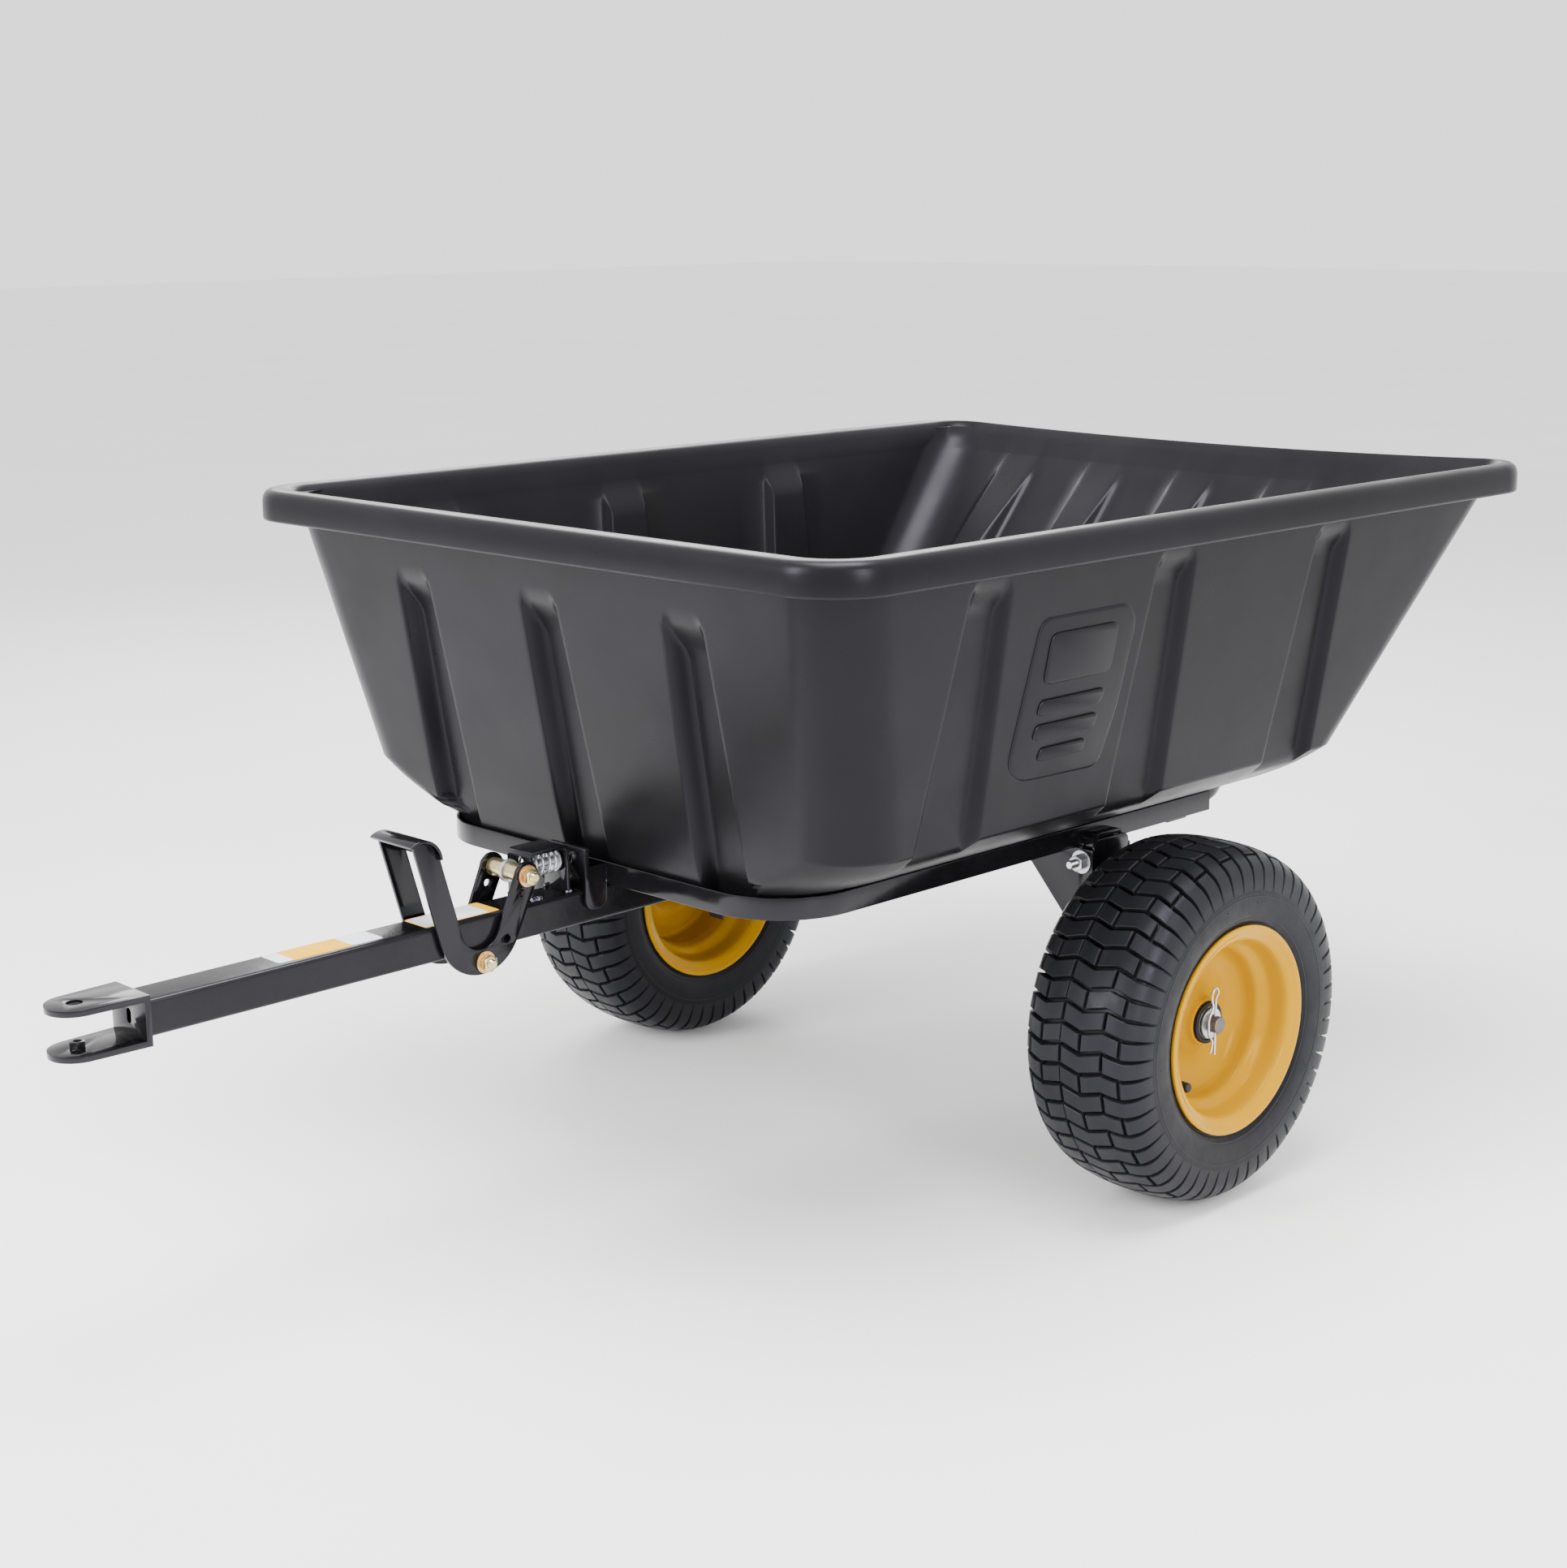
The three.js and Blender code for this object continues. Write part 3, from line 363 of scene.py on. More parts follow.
def hex_shape(axis, centre, face, crown, flats, bore=None):
    """A chamfered hexagon from its flat face to its crowned face."""
    segments = 48
    rise = 1 if crown > face else -1
    disc = flats / 2 * 0.97

    def reach(t):
        return flats / 2 / math.cos((t + math.pi / 6) % (math.pi / 3) - math.pi / 6)

    turns = [2 * math.pi * k / segments for k in range(segments)]
    rows = [
        [(face, bore or 0.0005)] * segments,
        [(face, reach(t) * 0.985) for t in turns],
        [(face + rise * 0.0002, reach(t)) for t in turns],
        [(crown - rise * (reach(t) - disc) * 0.6, reach(t)) for t in turns],
        [(crown, disc)] * segments,
        [(crown, bore or 0.0005)] * segments,
    ]
    verts = [at(axis, centre, u, r * math.cos(t), r * math.sin(t)) for row in rows for (u, r), t in zip(row, turns)]
    faces = grid_faces(len(rows), segments, wrap_rows=bool(bore))
    if not bore:
        faces += [tuple(range(segments)), tuple(range(5 * segments, 6 * segments))]
    return verts, faces


def threads(u0, u1, radius, pitch=0.0013):
    """The section of a threaded stretch, from one end to the other."""
    count = max(1, round(abs(u1 - u0) / pitch))
    out = []
    for k in range(count):
        out += [(u0 + (u1 - u0) * (k + 0.1) / count, radius * 0.89), (u0 + (u1 - u0) * (k + 0.5) / count, radius)]
    return out


def smooth_path(points, per=10, closed=False):
    """A Catmull-Rom curve through the points."""
    pts = [Vector(p) for p in points]
    out = []
    for i in range(len(pts) - 1):
        p0, p1, p2, p3 = pts[max(i - 1, 0)], pts[i], pts[i + 1], pts[min(i + 2, len(pts) - 1)]
        for k in range(per):
            t = k / per
            out.append(0.5 * (2 * p1 + (p2 - p0) * t + (2 * p0 - 5 * p1 + 4 * p2 - p3) * t ** 2
                              + (3 * p1 - p0 - 3 * p2 + p3) * t ** 3))
    return out + [pts[-1]]


def tube(path, radius, sides=12):
    """A round wire along a path; radius is a number or a function of the share of its length."""
    path = [Vector(p) for p in path]
    across = None
    verts = []
    for i, p in enumerate(path):
        along = (path[min(i + 1, len(path) - 1)] - path[max(i - 1, 0)]).normalized()
        if across is None:
            across = along.orthogonal().normalized()
        across = (across - along * across.dot(along)).normalized()
        other = along.cross(across)
        r = radius(i / (len(path) - 1)) if callable(radius) else radius
        for k in range(sides):
            t = 2 * math.pi * k / sides
            verts.append(p + (across * math.cos(t) + other * math.sin(t)) * r)
    faces = grid_faces(len(path), sides)
    last = len(verts) - sides
    return verts, faces + [tuple(range(sides)), tuple(range(last, last + sides))]


def arc(cy, cz, r, start, end, steps=20):
    """Points of an arc, by its angles in radians."""
    return [(cy + r * math.cos(start + (end - start) * k / steps), cz + r * math.sin(start + (end - start) * k / steps))
            for k in range(steps + 1)]


def circle(cy, cz, r, steps=40):
    return arc(cy, cz, r, 0, 2 * math.pi, steps)[:-1]


def plate(loops, place, u0, u1, bevel=0.0006):
    """A flat plate with holes and rounded edges; place(u, a, b) puts the outline's (a, b) at u."""
    curve = bpy.data.curves.new("outline", "CURVE")
    curve.dimensions = "2D"
    curve.fill_mode = "BOTH"
    curve.extrude = abs(u1 - u0) / 2 - bevel
    curve.bevel_depth = bevel
    curve.bevel_resolution = 2
    curve.offset = -bevel
    for loop in loops:
        spline = curve.splines.new("POLY")
        spline.points.add(len(loop) - 1)
        for point, (a, b) in zip(spline.points, loop):
            point.co = (a, b, 0, 1)
        spline.use_cyclic_u = True
    holder = bpy.data.objects.new("outline", curve)
    bpy.context.scene.collection.objects.link(holder)
    bpy.context.view_layer.update()
    flat = holder.evaluated_get(bpy.context.evaluated_depsgraph_get()).to_mesh()
    centre = (u0 + u1) / 2
    verts = [place(centre + v.co.z, v.co.x, v.co.y) for v in flat.vertices]
    faces = [tuple(f.vertices) for f in flat.polygons]
    bpy.data.objects.remove(holder)
    return verts, faces


def across_x(u, a, b):
    return (u, a, b)


def across_y(u, a, b):
    return (a, u, b)


def across_z(u, a, b):
    return (a, b, u)


# ---------------------------------------------------------------- tub
TUB_LOW, TUB_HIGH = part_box("tub")
RIM_HALF, RIM_FRONT, RIM_REAR, RIM_TOP = TUB_HIGH.x, TUB_LOW.y, TUB_HIGH.y, TUB_HIGH.z
TUB_FLOOR = TUB_LOW.z
TUB_WALL = 5 * MM
LIP_DROP = 35 * MM
WALL_TOP = RIM_TOP - LIP_DROP
CREASE = TUB_FLOOR + 79 * MM
FLUTE_DEPTH = 20 * MM
SIDE_FLUTE_DEPTH = 13 * MM
FLUTE_CORNER = 13 * MM


class Level:
    """One height of the tub: half width, front, rear and its front and rear corner radii."""

    def __init__(self, z, half, front, rear, front_corner, rear_corner):
        self.z, self.half, self.front, self.rear = z, half, front, rear
        self.front_corner, self.rear_corner = front_corner, rear_corner

    def inset(self, d, z=None):
        """The same outline moved inwards by d."""
        return Level(self.z if z is None else z, self.half - d, self.front + d, self.rear - d * 1.2,
                     max(self.front_corner - d, 0.004), max(self.rear_corner - d, 0.004))


LIP = Level(RIM_TOP, RIM_HALF, RIM_FRONT, RIM_REAR, 75 * MM, 75 * MM)


def wall_level(z):
    """The tub's outside at height z: curved below the crease, straight above it."""
    # height above the floor, half width, front and rear from the axle, corner radii
    keys = np.array([
        (0, 280, -484, 262, 78, 45), (3, 285.5, -489, 268, 81, 48), (8, 290, -493, 274, 86, 52),
        (22, 295, -498, 284, 92, 56), (30, 318, -500.5, 291, 91, 57), (39, 342, -503, 299, 88, 58),
        (49, 364, -505.5, 308, 84, 58), (59, 382, -508, 317, 80, 58), (69, 396, -510.6, 326, 75, 58),
        (79, 408, -513, 334.6, 72, 58), (360.6, 452.7, -576.3, 583, 72, 66), (400, 452.7, -576.3, 583, 72, 66),
    ]) * MM
    height = z - TUB_FLOOR
    half, front, rear, front_corner, rear_corner = (np.interp(height, keys[:, 0], keys[:, k]) for k in range(1, 6))
    return Level(z, half, AXLE_Y + front, AXLE_Y + rear, front_corner, rear_corner)


def straight_wall(z):
    """The wall planes at height z, carried on below the crease."""
    top, low = wall_level(WALL_TOP), wall_level(CREASE)
    t = min((z - CREASE) / (WALL_TOP - CREASE), 1)
    return (low.half + (top.half - low.half) * t, low.front + (top.front - low.front) * t,
            low.rear + (top.rear - low.rear) * t)


def step(t):
    t = np.clip(t, 0, 1)
    return t * t * (3 - 2 * t)


def ramp(t, fillet=0.3):
    """0 below 0, 1 above 1 and straight between, with small fillets at both ends."""
    if t > 0.5:
        return 1 - ramp(1 - t, fillet)
    if t <= -fillet:
        return 0.0
    return (t + fillet) ** 2 / (4 * fillet) if t < fillet else t


class Flutes:
    """A row of grooves in one wall: their edges at the top and bottom, and the widths of their two flanks."""

    def __init__(self, edges, top, slant, bottom, first, second, deepest=FLUTE_DEPTH):
        self.edges, self.top, self.slant, self.bottom = edges, top, slant, bottom
        self.first, self.second, self.deepest = first, second, deepest

    def sides(self, z):
        t = min(max((self.top - z) / (self.top - self.bottom), 0), 1)
        return [(a0 + (a1 - a0) * t, b0 + (b1 - b0) * t) for (a0, b0), (a1, b1) in self.edges]

    def depth(self, along, z, grow):
        """How deep the wall is pushed in at that place."""
        share = 0.0
        for a, b in self.sides(z):
            inside = min(along - a, b - along) + grow
            if inside < -0.01:
                continue
            # the top corners are rounded
            short = min(max(FLUTE_CORNER - inside, 0), FLUTE_CORNER)
            drop = FLUTE_CORNER - math.sqrt(FLUTE_CORNER ** 2 - short ** 2)
            deep = ramp((self.top + grow - drop - z) / self.slant)
            flank = min(ramp((along - a + grow) / self.first), ramp((b + grow - along) / self.second))
            share = max(share, min(deep, flank))
        return self.deepest * share


def edges_at(*quads):
    return [((a0 * MM, b0 * MM), (a1 * MM, b1 * MM)) for a0, b0, a1, b1 in quads]


def shifted(edges):
    return [tuple((a + AXLE_Y, b + AXLE_Y) for a, b in pair) for pair in edges]


FRONT_FLUTES = Flutes(edges_at((-243, -188, -272, -195), (-26, 30, -46, 31), (199, 255, 171, 250)),
                      TUB_FLOOR + 314 * MM, 38 * MM, TUB_FLOOR - 7 * MM, 9 * MM, 8 * MM)
SIDE_FLUTES = Flutes(shifted(edges_at((-386, -329, -430, -329), (-92, -31, -127, -27), (198, 259, 158, 255))),
                     TUB_FLOOR + 349 * MM, 28 * MM, TUB_FLOOR + 43 * MM, 8 * MM, 9 * MM, SIDE_FLUTE_DEPTH)
REAR_FLUTES = Flutes(edges_at(*[(x - 27, x + 27, x - 36, x + 33) for x in range(-304, 305, 152)]),
                     TUB_FLOOR + 352 * MM, 105 * MM, TUB_FLOOR + 40 * MM, 12 * MM, 12 * MM)
# where a flank needs points, as shares of its width
FLANK_SHARES = (-0.8, -0.3, -0.16, 0, 0.16, 0.3, 0.5, 0.7, 0.84, 1, 1.16, 1.3, 1.8)


def wall_stations(low, high, flutes, z):
    """Places along a wall, close together at the flanks of its grooves."""
    marks = []
    for a, b in flutes.sides(z):
        marks += [a + flutes.first * k for k in FLANK_SHARES]
        marks += [b - flutes.second * k for k in reversed(FLANK_SHARES)]
    marks = [low] + [min(max(m, low), high) for m in marks] + [high]
    out = []
    for k, (first, last) in enumerate(zip(marks, marks[1:])):
        count = 5 if k % (2 * len(FLANK_SHARES)) == 0 else 1
        out += [first + max(last - first, 0) * i / count for i in range(count)]
    return out


def corner(cx, cy, r, quarter, steps=16):
    return arc(cx, cy, r, quarter * math.pi / 2, (quarter + 1) * math.pi / 2, steps)[:-1]


def tub_ring(level, z_flutes=None, grow=0.0):
    """One ring of the tub's surface, anticlockwise from the left wall's front end."""
    z = level.z if z_flutes is None else z_flutes
    fr, rr = level.front_corner, level.rear_corner
    ring = [(level.half, y) for y in wall_stations(level.front + fr, level.rear - rr, SIDE_FLUTES, z)]
    ring += corner(level.half - rr, level.rear - rr, rr, 0)
    ring += [(-x, level.rear) for x in wall_stations(-(level.half - rr), level.half - rr, REAR_FLUTES, z)]
    ring += corner(-level.half + rr, level.rear - rr, rr, 1)
    back = wall_stations(level.front + fr, level.rear - rr, SIDE_FLUTES, z) + [level.rear - rr]
    ring += [(-level.half, y) for y in back[:0:-1]]
    ring += corner(-level.half + fr, level.front + fr, fr, 2)
    ring += [(x, level.front) for x in wall_stations(-(level.half - fr), level.half - fr, FRONT_FLUTES, z)]
    ring += corner(level.half - fr, level.front + fr, fr, 3)
    if z_flutes is None:
        return [(x, y, level.z) for x, y in ring]
    half, front, rear = straight_wall(z)
    out = []
    for x, y in ring:
        if y < level.front + fr + 0.02:
            deep = FRONT_FLUTES.depth(x, z, grow)
            if deep > 0:
                y = max(y, front + grow + deep)
        if y > level.rear - rr - 0.02:
            deep = REAR_FLUTES.depth(x, z, grow) * 1.15
            if deep > 0:
                y = min(y, rear - grow * 1.2 - deep)
        elif abs(x) > level.half - fr * 0.6:
            deep = SIDE_FLUTES.depth(y, z, grow)
            if deep > 0:
                x = math.copysign(min(abs(x), half - grow - deep), x)
        out.append((x, y, level.z))
    return out


def rim_sag(x, y, z):
    """The rear rim hangs a little in the middle."""
    share = step((y - (RIM_REAR - 0.35)) / 0.3) * step((z - CREASE) / (RIM_TOP - CREASE))
    return z - 0.009 * share * max(0, 1 - (x / RIM_HALF) ** 2)


def make_tub():
    heights = [0, 3, 8, 14, 22, 27, 33, 39, 45, 52, 59, 66, 73, 76.5, 79, 81.5, 90, 110, 130, 150, 170, 190, 210,
               230, 250, 262, 267]
    heights += [270 + 2.75 * k for k in range(33)] + [360.6]
    outside = [tub_ring(wall_level(TUB_FLOOR + h * MM), TUB_FLOOR + h * MM) for h in heights]
    lip_foot = wall_level(WALL_TOP)
    lip_foot.z = RIM_TOP - 8 * MM
    lip_foot.rear = RIM_REAR - 9 * MM
    # flat rings inside the bottom's edge keep its shading level
    rings = [tub_ring(wall_level(TUB_FLOOR).inset(d * MM)) for d in (30, 6)] + outside + [
        tub_ring(wall_level(WALL_TOP), WALL_TOP + 0.01),
        tub_ring(lip_foot),
    ]
    # the lip: out under its top, down its skirt, round the edge and back over the top
    for inset, z in ((30, -7), (10, -6), (5.5, -8), (4.2, -12), (4, -32), (3.4, -34.4), (2, -35), (0.6, -34.4),
                     (0, -32), (0, -20), (0.2, -13), (1.2, -8), (3.2, -4.2), (6.5, -1.6), (11, -0.4), (17, 0),
                     (24, -0.4), (29, -1.6), (33, -4.2), (36, -8.5), (38, -14)):
        edge = LIP.inset(inset * MM, RIM_TOP + z * MM)
        # the rear wall leans so far back that the lip is narrow there and runs into the wall's slope
        slope = 0.88 * abs(z) if inset > 20 and z > -6 or inset > 35 else 0
        edge.rear = RIM_REAR - min(inset, 6.5 + (inset - 6.5) * 0.06 + slope) * MM
        if inset == 30:
            edge.rear = RIM_REAR - 8.4 * MM
        rings.append(tub_ring(edge))
    for h in reversed(heights):
        level = wall_level(TUB_FLOOR + h * MM).inset(TUB_WALL)
        lift = TUB_WALL * max(0, 1 - h / 79)
        level.z += lift
        rings.append(tub_ring(level, TUB_FLOOR + h * MM, TUB_WALL))
    rings += [tub_ring(wall_level(TUB_FLOOR).inset(TUB_WALL + d * MM, TUB_FLOOR + TUB_WALL)) for d in (6, 30)]
    count = len(rings[0])
    verts = [(x, y, rim_sag(x, y, z)) for ring in rings for x, y, z in ring]
    faces = grid_faces(len(rings), count)
    faces += [tuple(range(count)), tuple(range(len(verts) - count, len(verts)))]
    Form().add(verts, faces).make("tub_shell", "bed", "tub_poly", "tub", sharp=62)


def relief(outline, lifts):
    """A raised shape on the left wall; outline is in millimetres from the axle and the tub's floor."""
    middle_y = sum(p[0] for p in outline) / len(outline)
    middle_z = sum(p[1] for p in outline) / len(outline)
    rows = []
    for inset, lift in lifts:
        for y, z in outline:
            away = Vector((y - middle_y, z - middle_z))
            away *= 1 - inset / away.length
            height = TUB_FLOOR + (middle_z + away.y) * MM
            half = straight_wall(height)[0]
            rows.append((half + lift * MM, AXLE_Y + (middle_y + away.x) * MM, height))
    count = len(outline)
    faces = grid_faces(len(lifts), count)
    faces += [tuple(range(count)), tuple(range(len(rows) - count, len(rows)))]
    return rows, faces


def make_badge_panel():
    """A plain raised panel on the left wall between two flutes, with plain bars on it."""
    outline = soften([(-276, 303), (-135, 303), (-119, 284), (-131, 191), (-150, 128), (-276, 131), (-300, 150)],
                     16, steps=6)
    form = Form().add(*relief(outline, ((0, -1.0), (0, 0.5), (1.2, 1.3), (3.4, 1.6))))
    for left, right, low, high in ((-262, -150, 232, 286), (-266, -158, 200, 216), (-268, -164, 174, 190),
                                   (-256, -178, 150, 164)):
        bar = soften([(left, low), (right - 4, low), (right, high), (left + 4, high)], 12, steps=6)
        form.add(*relief(bar, ((0, 1.0), (0, 2.6), (1.4, 3.6), (2.6, 3.9))))
    form.make("badge_panel", "bed", "tub_poly")


# ---------------------------------------------------------------- frame and undercarriage
def make_bed_frame():
    low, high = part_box("bed_frame")
    corner_r, ledge, t = 95 * MM, 46 * MM, 3 * MM
    half, front, rear = high.x, low.y, high.y
    path = [((half, rear), (1, 0)), ((half, AXLE_Y), (1, 0))]
    for k in range(25):
        a = -k / 24 * math.pi / 2
        path.append(((half - corner_r + corner_r * math.cos(a), front + corner_r + corner_r * math.sin(a)),
                     (math.cos(a), math.sin(a))))
    path += [((-x, y), (-nx, ny)) for (x, y), (nx, ny) in reversed(path)]
    h = high.z - low.z
    section = soften([(0, 0), (0, h), (t, h), (t, t), (ledge, t), (ledge, 0)], 1.4 * MM)
    verts = [(x - nx * d, y - ny * d, low.z + z) for (x, y), (nx, ny) in path for d, z in section]
    count = len(section)
    faces = grid_faces(len(path), count)
    faces += [tuple(range(count)), tuple(range(len(verts) - count, len(verts)))]
    Form().add(verts, faces).make("frame_ring", "bed", "black_powder_coat", "bed_frame", sharp=28)


def smooth_by_angle():
    """A modifier's node group that shades faces smooth and leaves real edges sharp."""
    group = bpy.data.node_groups.new("smooth_by_angle", "GeometryNodeTree")
    group.interface.new_socket("Geometry", in_out="INPUT", socket_type="NodeSocketGeometry")
    group.interface.new_socket("Geometry", in_out="OUTPUT", socket_type="NodeSocketGeometry")
    start = group.nodes.new("NodeGroupInput")
    end = group.nodes.new("NodeGroupOutput")
    faces = group.nodes.new("GeometryNodeSetShadeSmooth")
    edges = group.nodes.new("GeometryNodeSetShadeSmooth")
    edges.domain = "EDGE"
    edges.inputs["Shade Smooth"].default_value = False
    angle = group.nodes.new("GeometryNodeInputMeshEdgeAngle")
    compare = group.nodes.new("FunctionNodeCompare")
    compare.operation = "GREATER_THAN"
    compare.inputs[1].default_value = math.radians(32)
    group.links.new(start.outputs[0], faces.inputs["Geometry"])
    group.links.new(faces.outputs[0], edges.inputs["Geometry"])
    group.links.new(angle.outputs["Unsigned Angle"], compare.inputs[0])
    group.links.new(compare.outputs[0], edges.inputs["Selection"])
    group.links.new(edges.outputs[0], end.inputs[0])
    return group


def refine_cad_nodes(names, width=0.0008):
    """Folded-plate nodes keep their own shape and get rounded edges and their finish."""
    group = smooth_by_angle()
    for name in names:
        node = NODES[name]
        weld = node.modifiers.new("join", "WELD")
        weld.merge_threshold = 0.00002
        flat = node.modifiers.new("planes", "DECIMATE")
        flat.decimate_type = "DISSOLVE"
        flat.angle_limit = math.radians(1.5)
        edge = node.modifiers.new("edges", "BEVEL")
        edge.width = width
        edge.segments = 2
        edge.limit_method = "ANGLE"
        edge.angle_limit = math.radians(40)
        shade = node.modifiers.new("shading", "NODES")
        shade.node_group = group
        node.data.materials.clear()
        node.data.materials.append(MATERIALS[SLOT_OF[name]])


def make_sleeve(node, axis, bore, chamfer=0.0006, look=None):
    """A turned ring that fills a CAD ring's own box."""
    low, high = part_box(node)
    k = "xyz".index(axis)
    others = [i for i in range(3) if i != k]
    centre = [(low[i] + high[i]) / 2 for i in others]
    outer = max(high[i] - low[i] for i in others) / 2
    section = ring_section(low[k], high[k], bore, outer, chamfer)
    Form().add(*revolve(section, axis, centre)).make(
        node + "_turned", BODY_OF[node], SLOT_OF[node], node, look=look)


def make_bolt(node, axis, radius, head, flats, rises=-1, look=None):
    """A hex-headed bolt in a CAD bolt's box; head is the head's height, rises its end along the axis."""
    low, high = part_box(node)
    k = "xyz".index(axis)
    centre = [(low[i] + high[i]) / 2 for i in range(3) if i != k]
    crown, tip = (low[k], high[k]) if rises < 0 else (high[k], low[k])
    face = crown - rises * head
    away = 1 if tip > face else -1
    shank = [(face - away * 0.001, radius * 0.5), (face - away * 0.001, radius)]
    thread_from = tip - away * 0.022
    shank += [(thread_from, radius)] + threads(thread_from, tip - away * 0.0012, radius)
    shank += [(tip, radius * 0.78)]
    form = Form().add(*hex_shape(axis, centre, face, crown, flats))
    form.add(*solid_turned(shank, axis, centre, 32))
    form.make(node + "_turned", BODY_OF[node], SLOT_OF[node], node, look=look)


def make_nut(node, axis, bore, crown_high, look=None):
    low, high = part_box(node)
    k = "xyz".index(axis)
    others = [i for i in range(3) if i != k]
    centre = [(low[i] + high[i]) / 2 for i in others]
    flats = min(high[i] - low[i] for i in others)
    face, crown = (low[k], high[k]) if crown_high else (high[k], low[k])
    Form().add(*hex_shape(axis, centre, face, crown, flats, bore)).make(
        node + "_turned", BODY_OF[node], SLOT_OF[node], node, look=look)


def make_washer(name, axis, centre, u0, u1, bore, outer, body, slot, look=None):
    section = ring_section(u0, u1, bore, outer, 0.0004)
    Form().add(*revolve(section, axis, centre)).make(name, body, slot, look=look)


def make_undercarriage():
    for side, sign in SIDES:
        x = AXLE.x * sign
        hanger = middle(f"hanger_nut_{side}")
        make_bolt(f"hanger_bolt_{side}", "y", 5 * MM, 6.4 * MM, 17 * MM, rises=1)
        make_nut(f"hanger_nut_{side}", "y", 5.1 * MM, crown_high=False)
        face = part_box(f"hanger_nut_{side}")[1].y
        make_washer(f"hanger_washer_{side}", "y", (hanger.x, hanger.z), face + 0.2 * MM, face + 2.3 * MM,
                    5.3 * MM, 13.5 * MM, "bed", "white_zinc")
        low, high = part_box(f"stub_axle_{side}")
        inner, outer = (low.x, high.x) if sign > 0 else (-high.x, -low.x)
        stub = soften([(inner, 0.002), (inner, 9.5 * MM), (inner + 12.3 * MM, 9.5 * MM),
                       (inner + 12.3 * MM, 13.5 * MM), (inner + 72.7 * MM, 13.5 * MM),
                       (inner + 72.7 * MM, 9.5 * MM), (outer, 9.5 * MM), (outer, 0.002)], 0.9 * MM, closed=False)
        Form().add(*solid_turned(stub, "x", (AXLE_Y, AXLE_Z))).flip(sign).make(
            f"stub_axle_{side}_turned", "bed", "bare_steel", f"stub_axle_{side}")
        make_sleeve(f"axle_washer_{side}", "x", 9.8 * MM, 0.4 * MM)
        pin = abs(x) + 43 * MM
        clip = smooth_path([(pin + dx * MM, AXLE_Y + dy * MM, AXLE_Z + dz * MM) for dx, dy, dz in (
            (0, 0, -35), (0, 0, -18), (0, 0, 19), (0, 0, 29), (1, 3, 37), (1, -2, 42.8), (1, -8, 37),
            (1, -8, 29), (1, -6, 21), (1, -12.5, 9), (1, -13, 0), (1, -12.5, -9), (1, -6, -19), (1, -9, -31))])
        Form().add(*tube(clip, 1.4 * MM)).flip(sign).make(
            f"hairpin_{side}_wire", "bed", "white_zinc", f"hairpin_{side}")
    for where in ("rear_left", "rear_right", "front_left", "front_right"):
        make_bolt(f"tub_bolt_{where}", "z", 4 * MM, 3 * MM, 15.5 * MM, rises=1)
        make_nut(f"tub_nut_{where}", "z", 4.1 * MM, crown_high=False)
    make_bolt("tilt_bolt", "x", 6 * MM, 7.5 * MM, 18 * MM)
    make_nut("tilt_nut", "x", 6.1 * MM, crown_high=True)
    make_sleeve("tilt_bushing", "x", 6.2 * MM)


# ---------------------------------------------------------------- tongue, lever and latch
def make_tongue():
    low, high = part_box("tongue_tube")
    half, wall = high.x, 2.5 * MM
    outer = soften([(-half, low.z), (half, low.z), (half, high.z), (-half, high.z)], 5 * MM, steps=6)
    inner = soften([(-half + wall, low.z + wall), (half - wall, low.z + wall), (half - wall, high.z - wall),
                    (-half + wall, high.z - wall)], 3 * MM, steps=6)
    Form().add(*plate([outer, inner], across_y, low.y, high.y, 0.3 * MM)).make(
        "tongue_tube_rolled", "drawbar", "black_powder_coat", "tongue_tube", look="tongue_coat", sharp=50)
    make_nut("clevis_nut", "z", 4.1 * MM, crown_high=True)
    for name, start, end, left, right, look in (
            ("label_clear_end", -909, -892, -19, 14, "label_white"),
            ("label_long", -894, -821, -20, 15, "label_yellow"),
            ("label_tab", -823, -786, -20, 15, "label_white"),
            ("label_short", -735, -640, -22, 18, "label_yellow"),
            ("label_panel", -734, -653, -20.5, 16.5, "label_white")):
        outline = soften([(left * MM, AXLE_Y + start * MM), (right * MM, AXLE_Y + start * MM),
                          (right * MM, AXLE_Y + end * MM), (left * MM, AXLE_Y + end * MM)], 4 * MM, steps=5)
        lift = 0.45 * MM if look == "label_white" else 0.25 * MM
        Form().add(*plate([outline], across_z, high.z - 0.1 * MM, high.z + lift, 0.05 * MM)).make(
            name, "drawbar", "black_powder_coat", look=look)


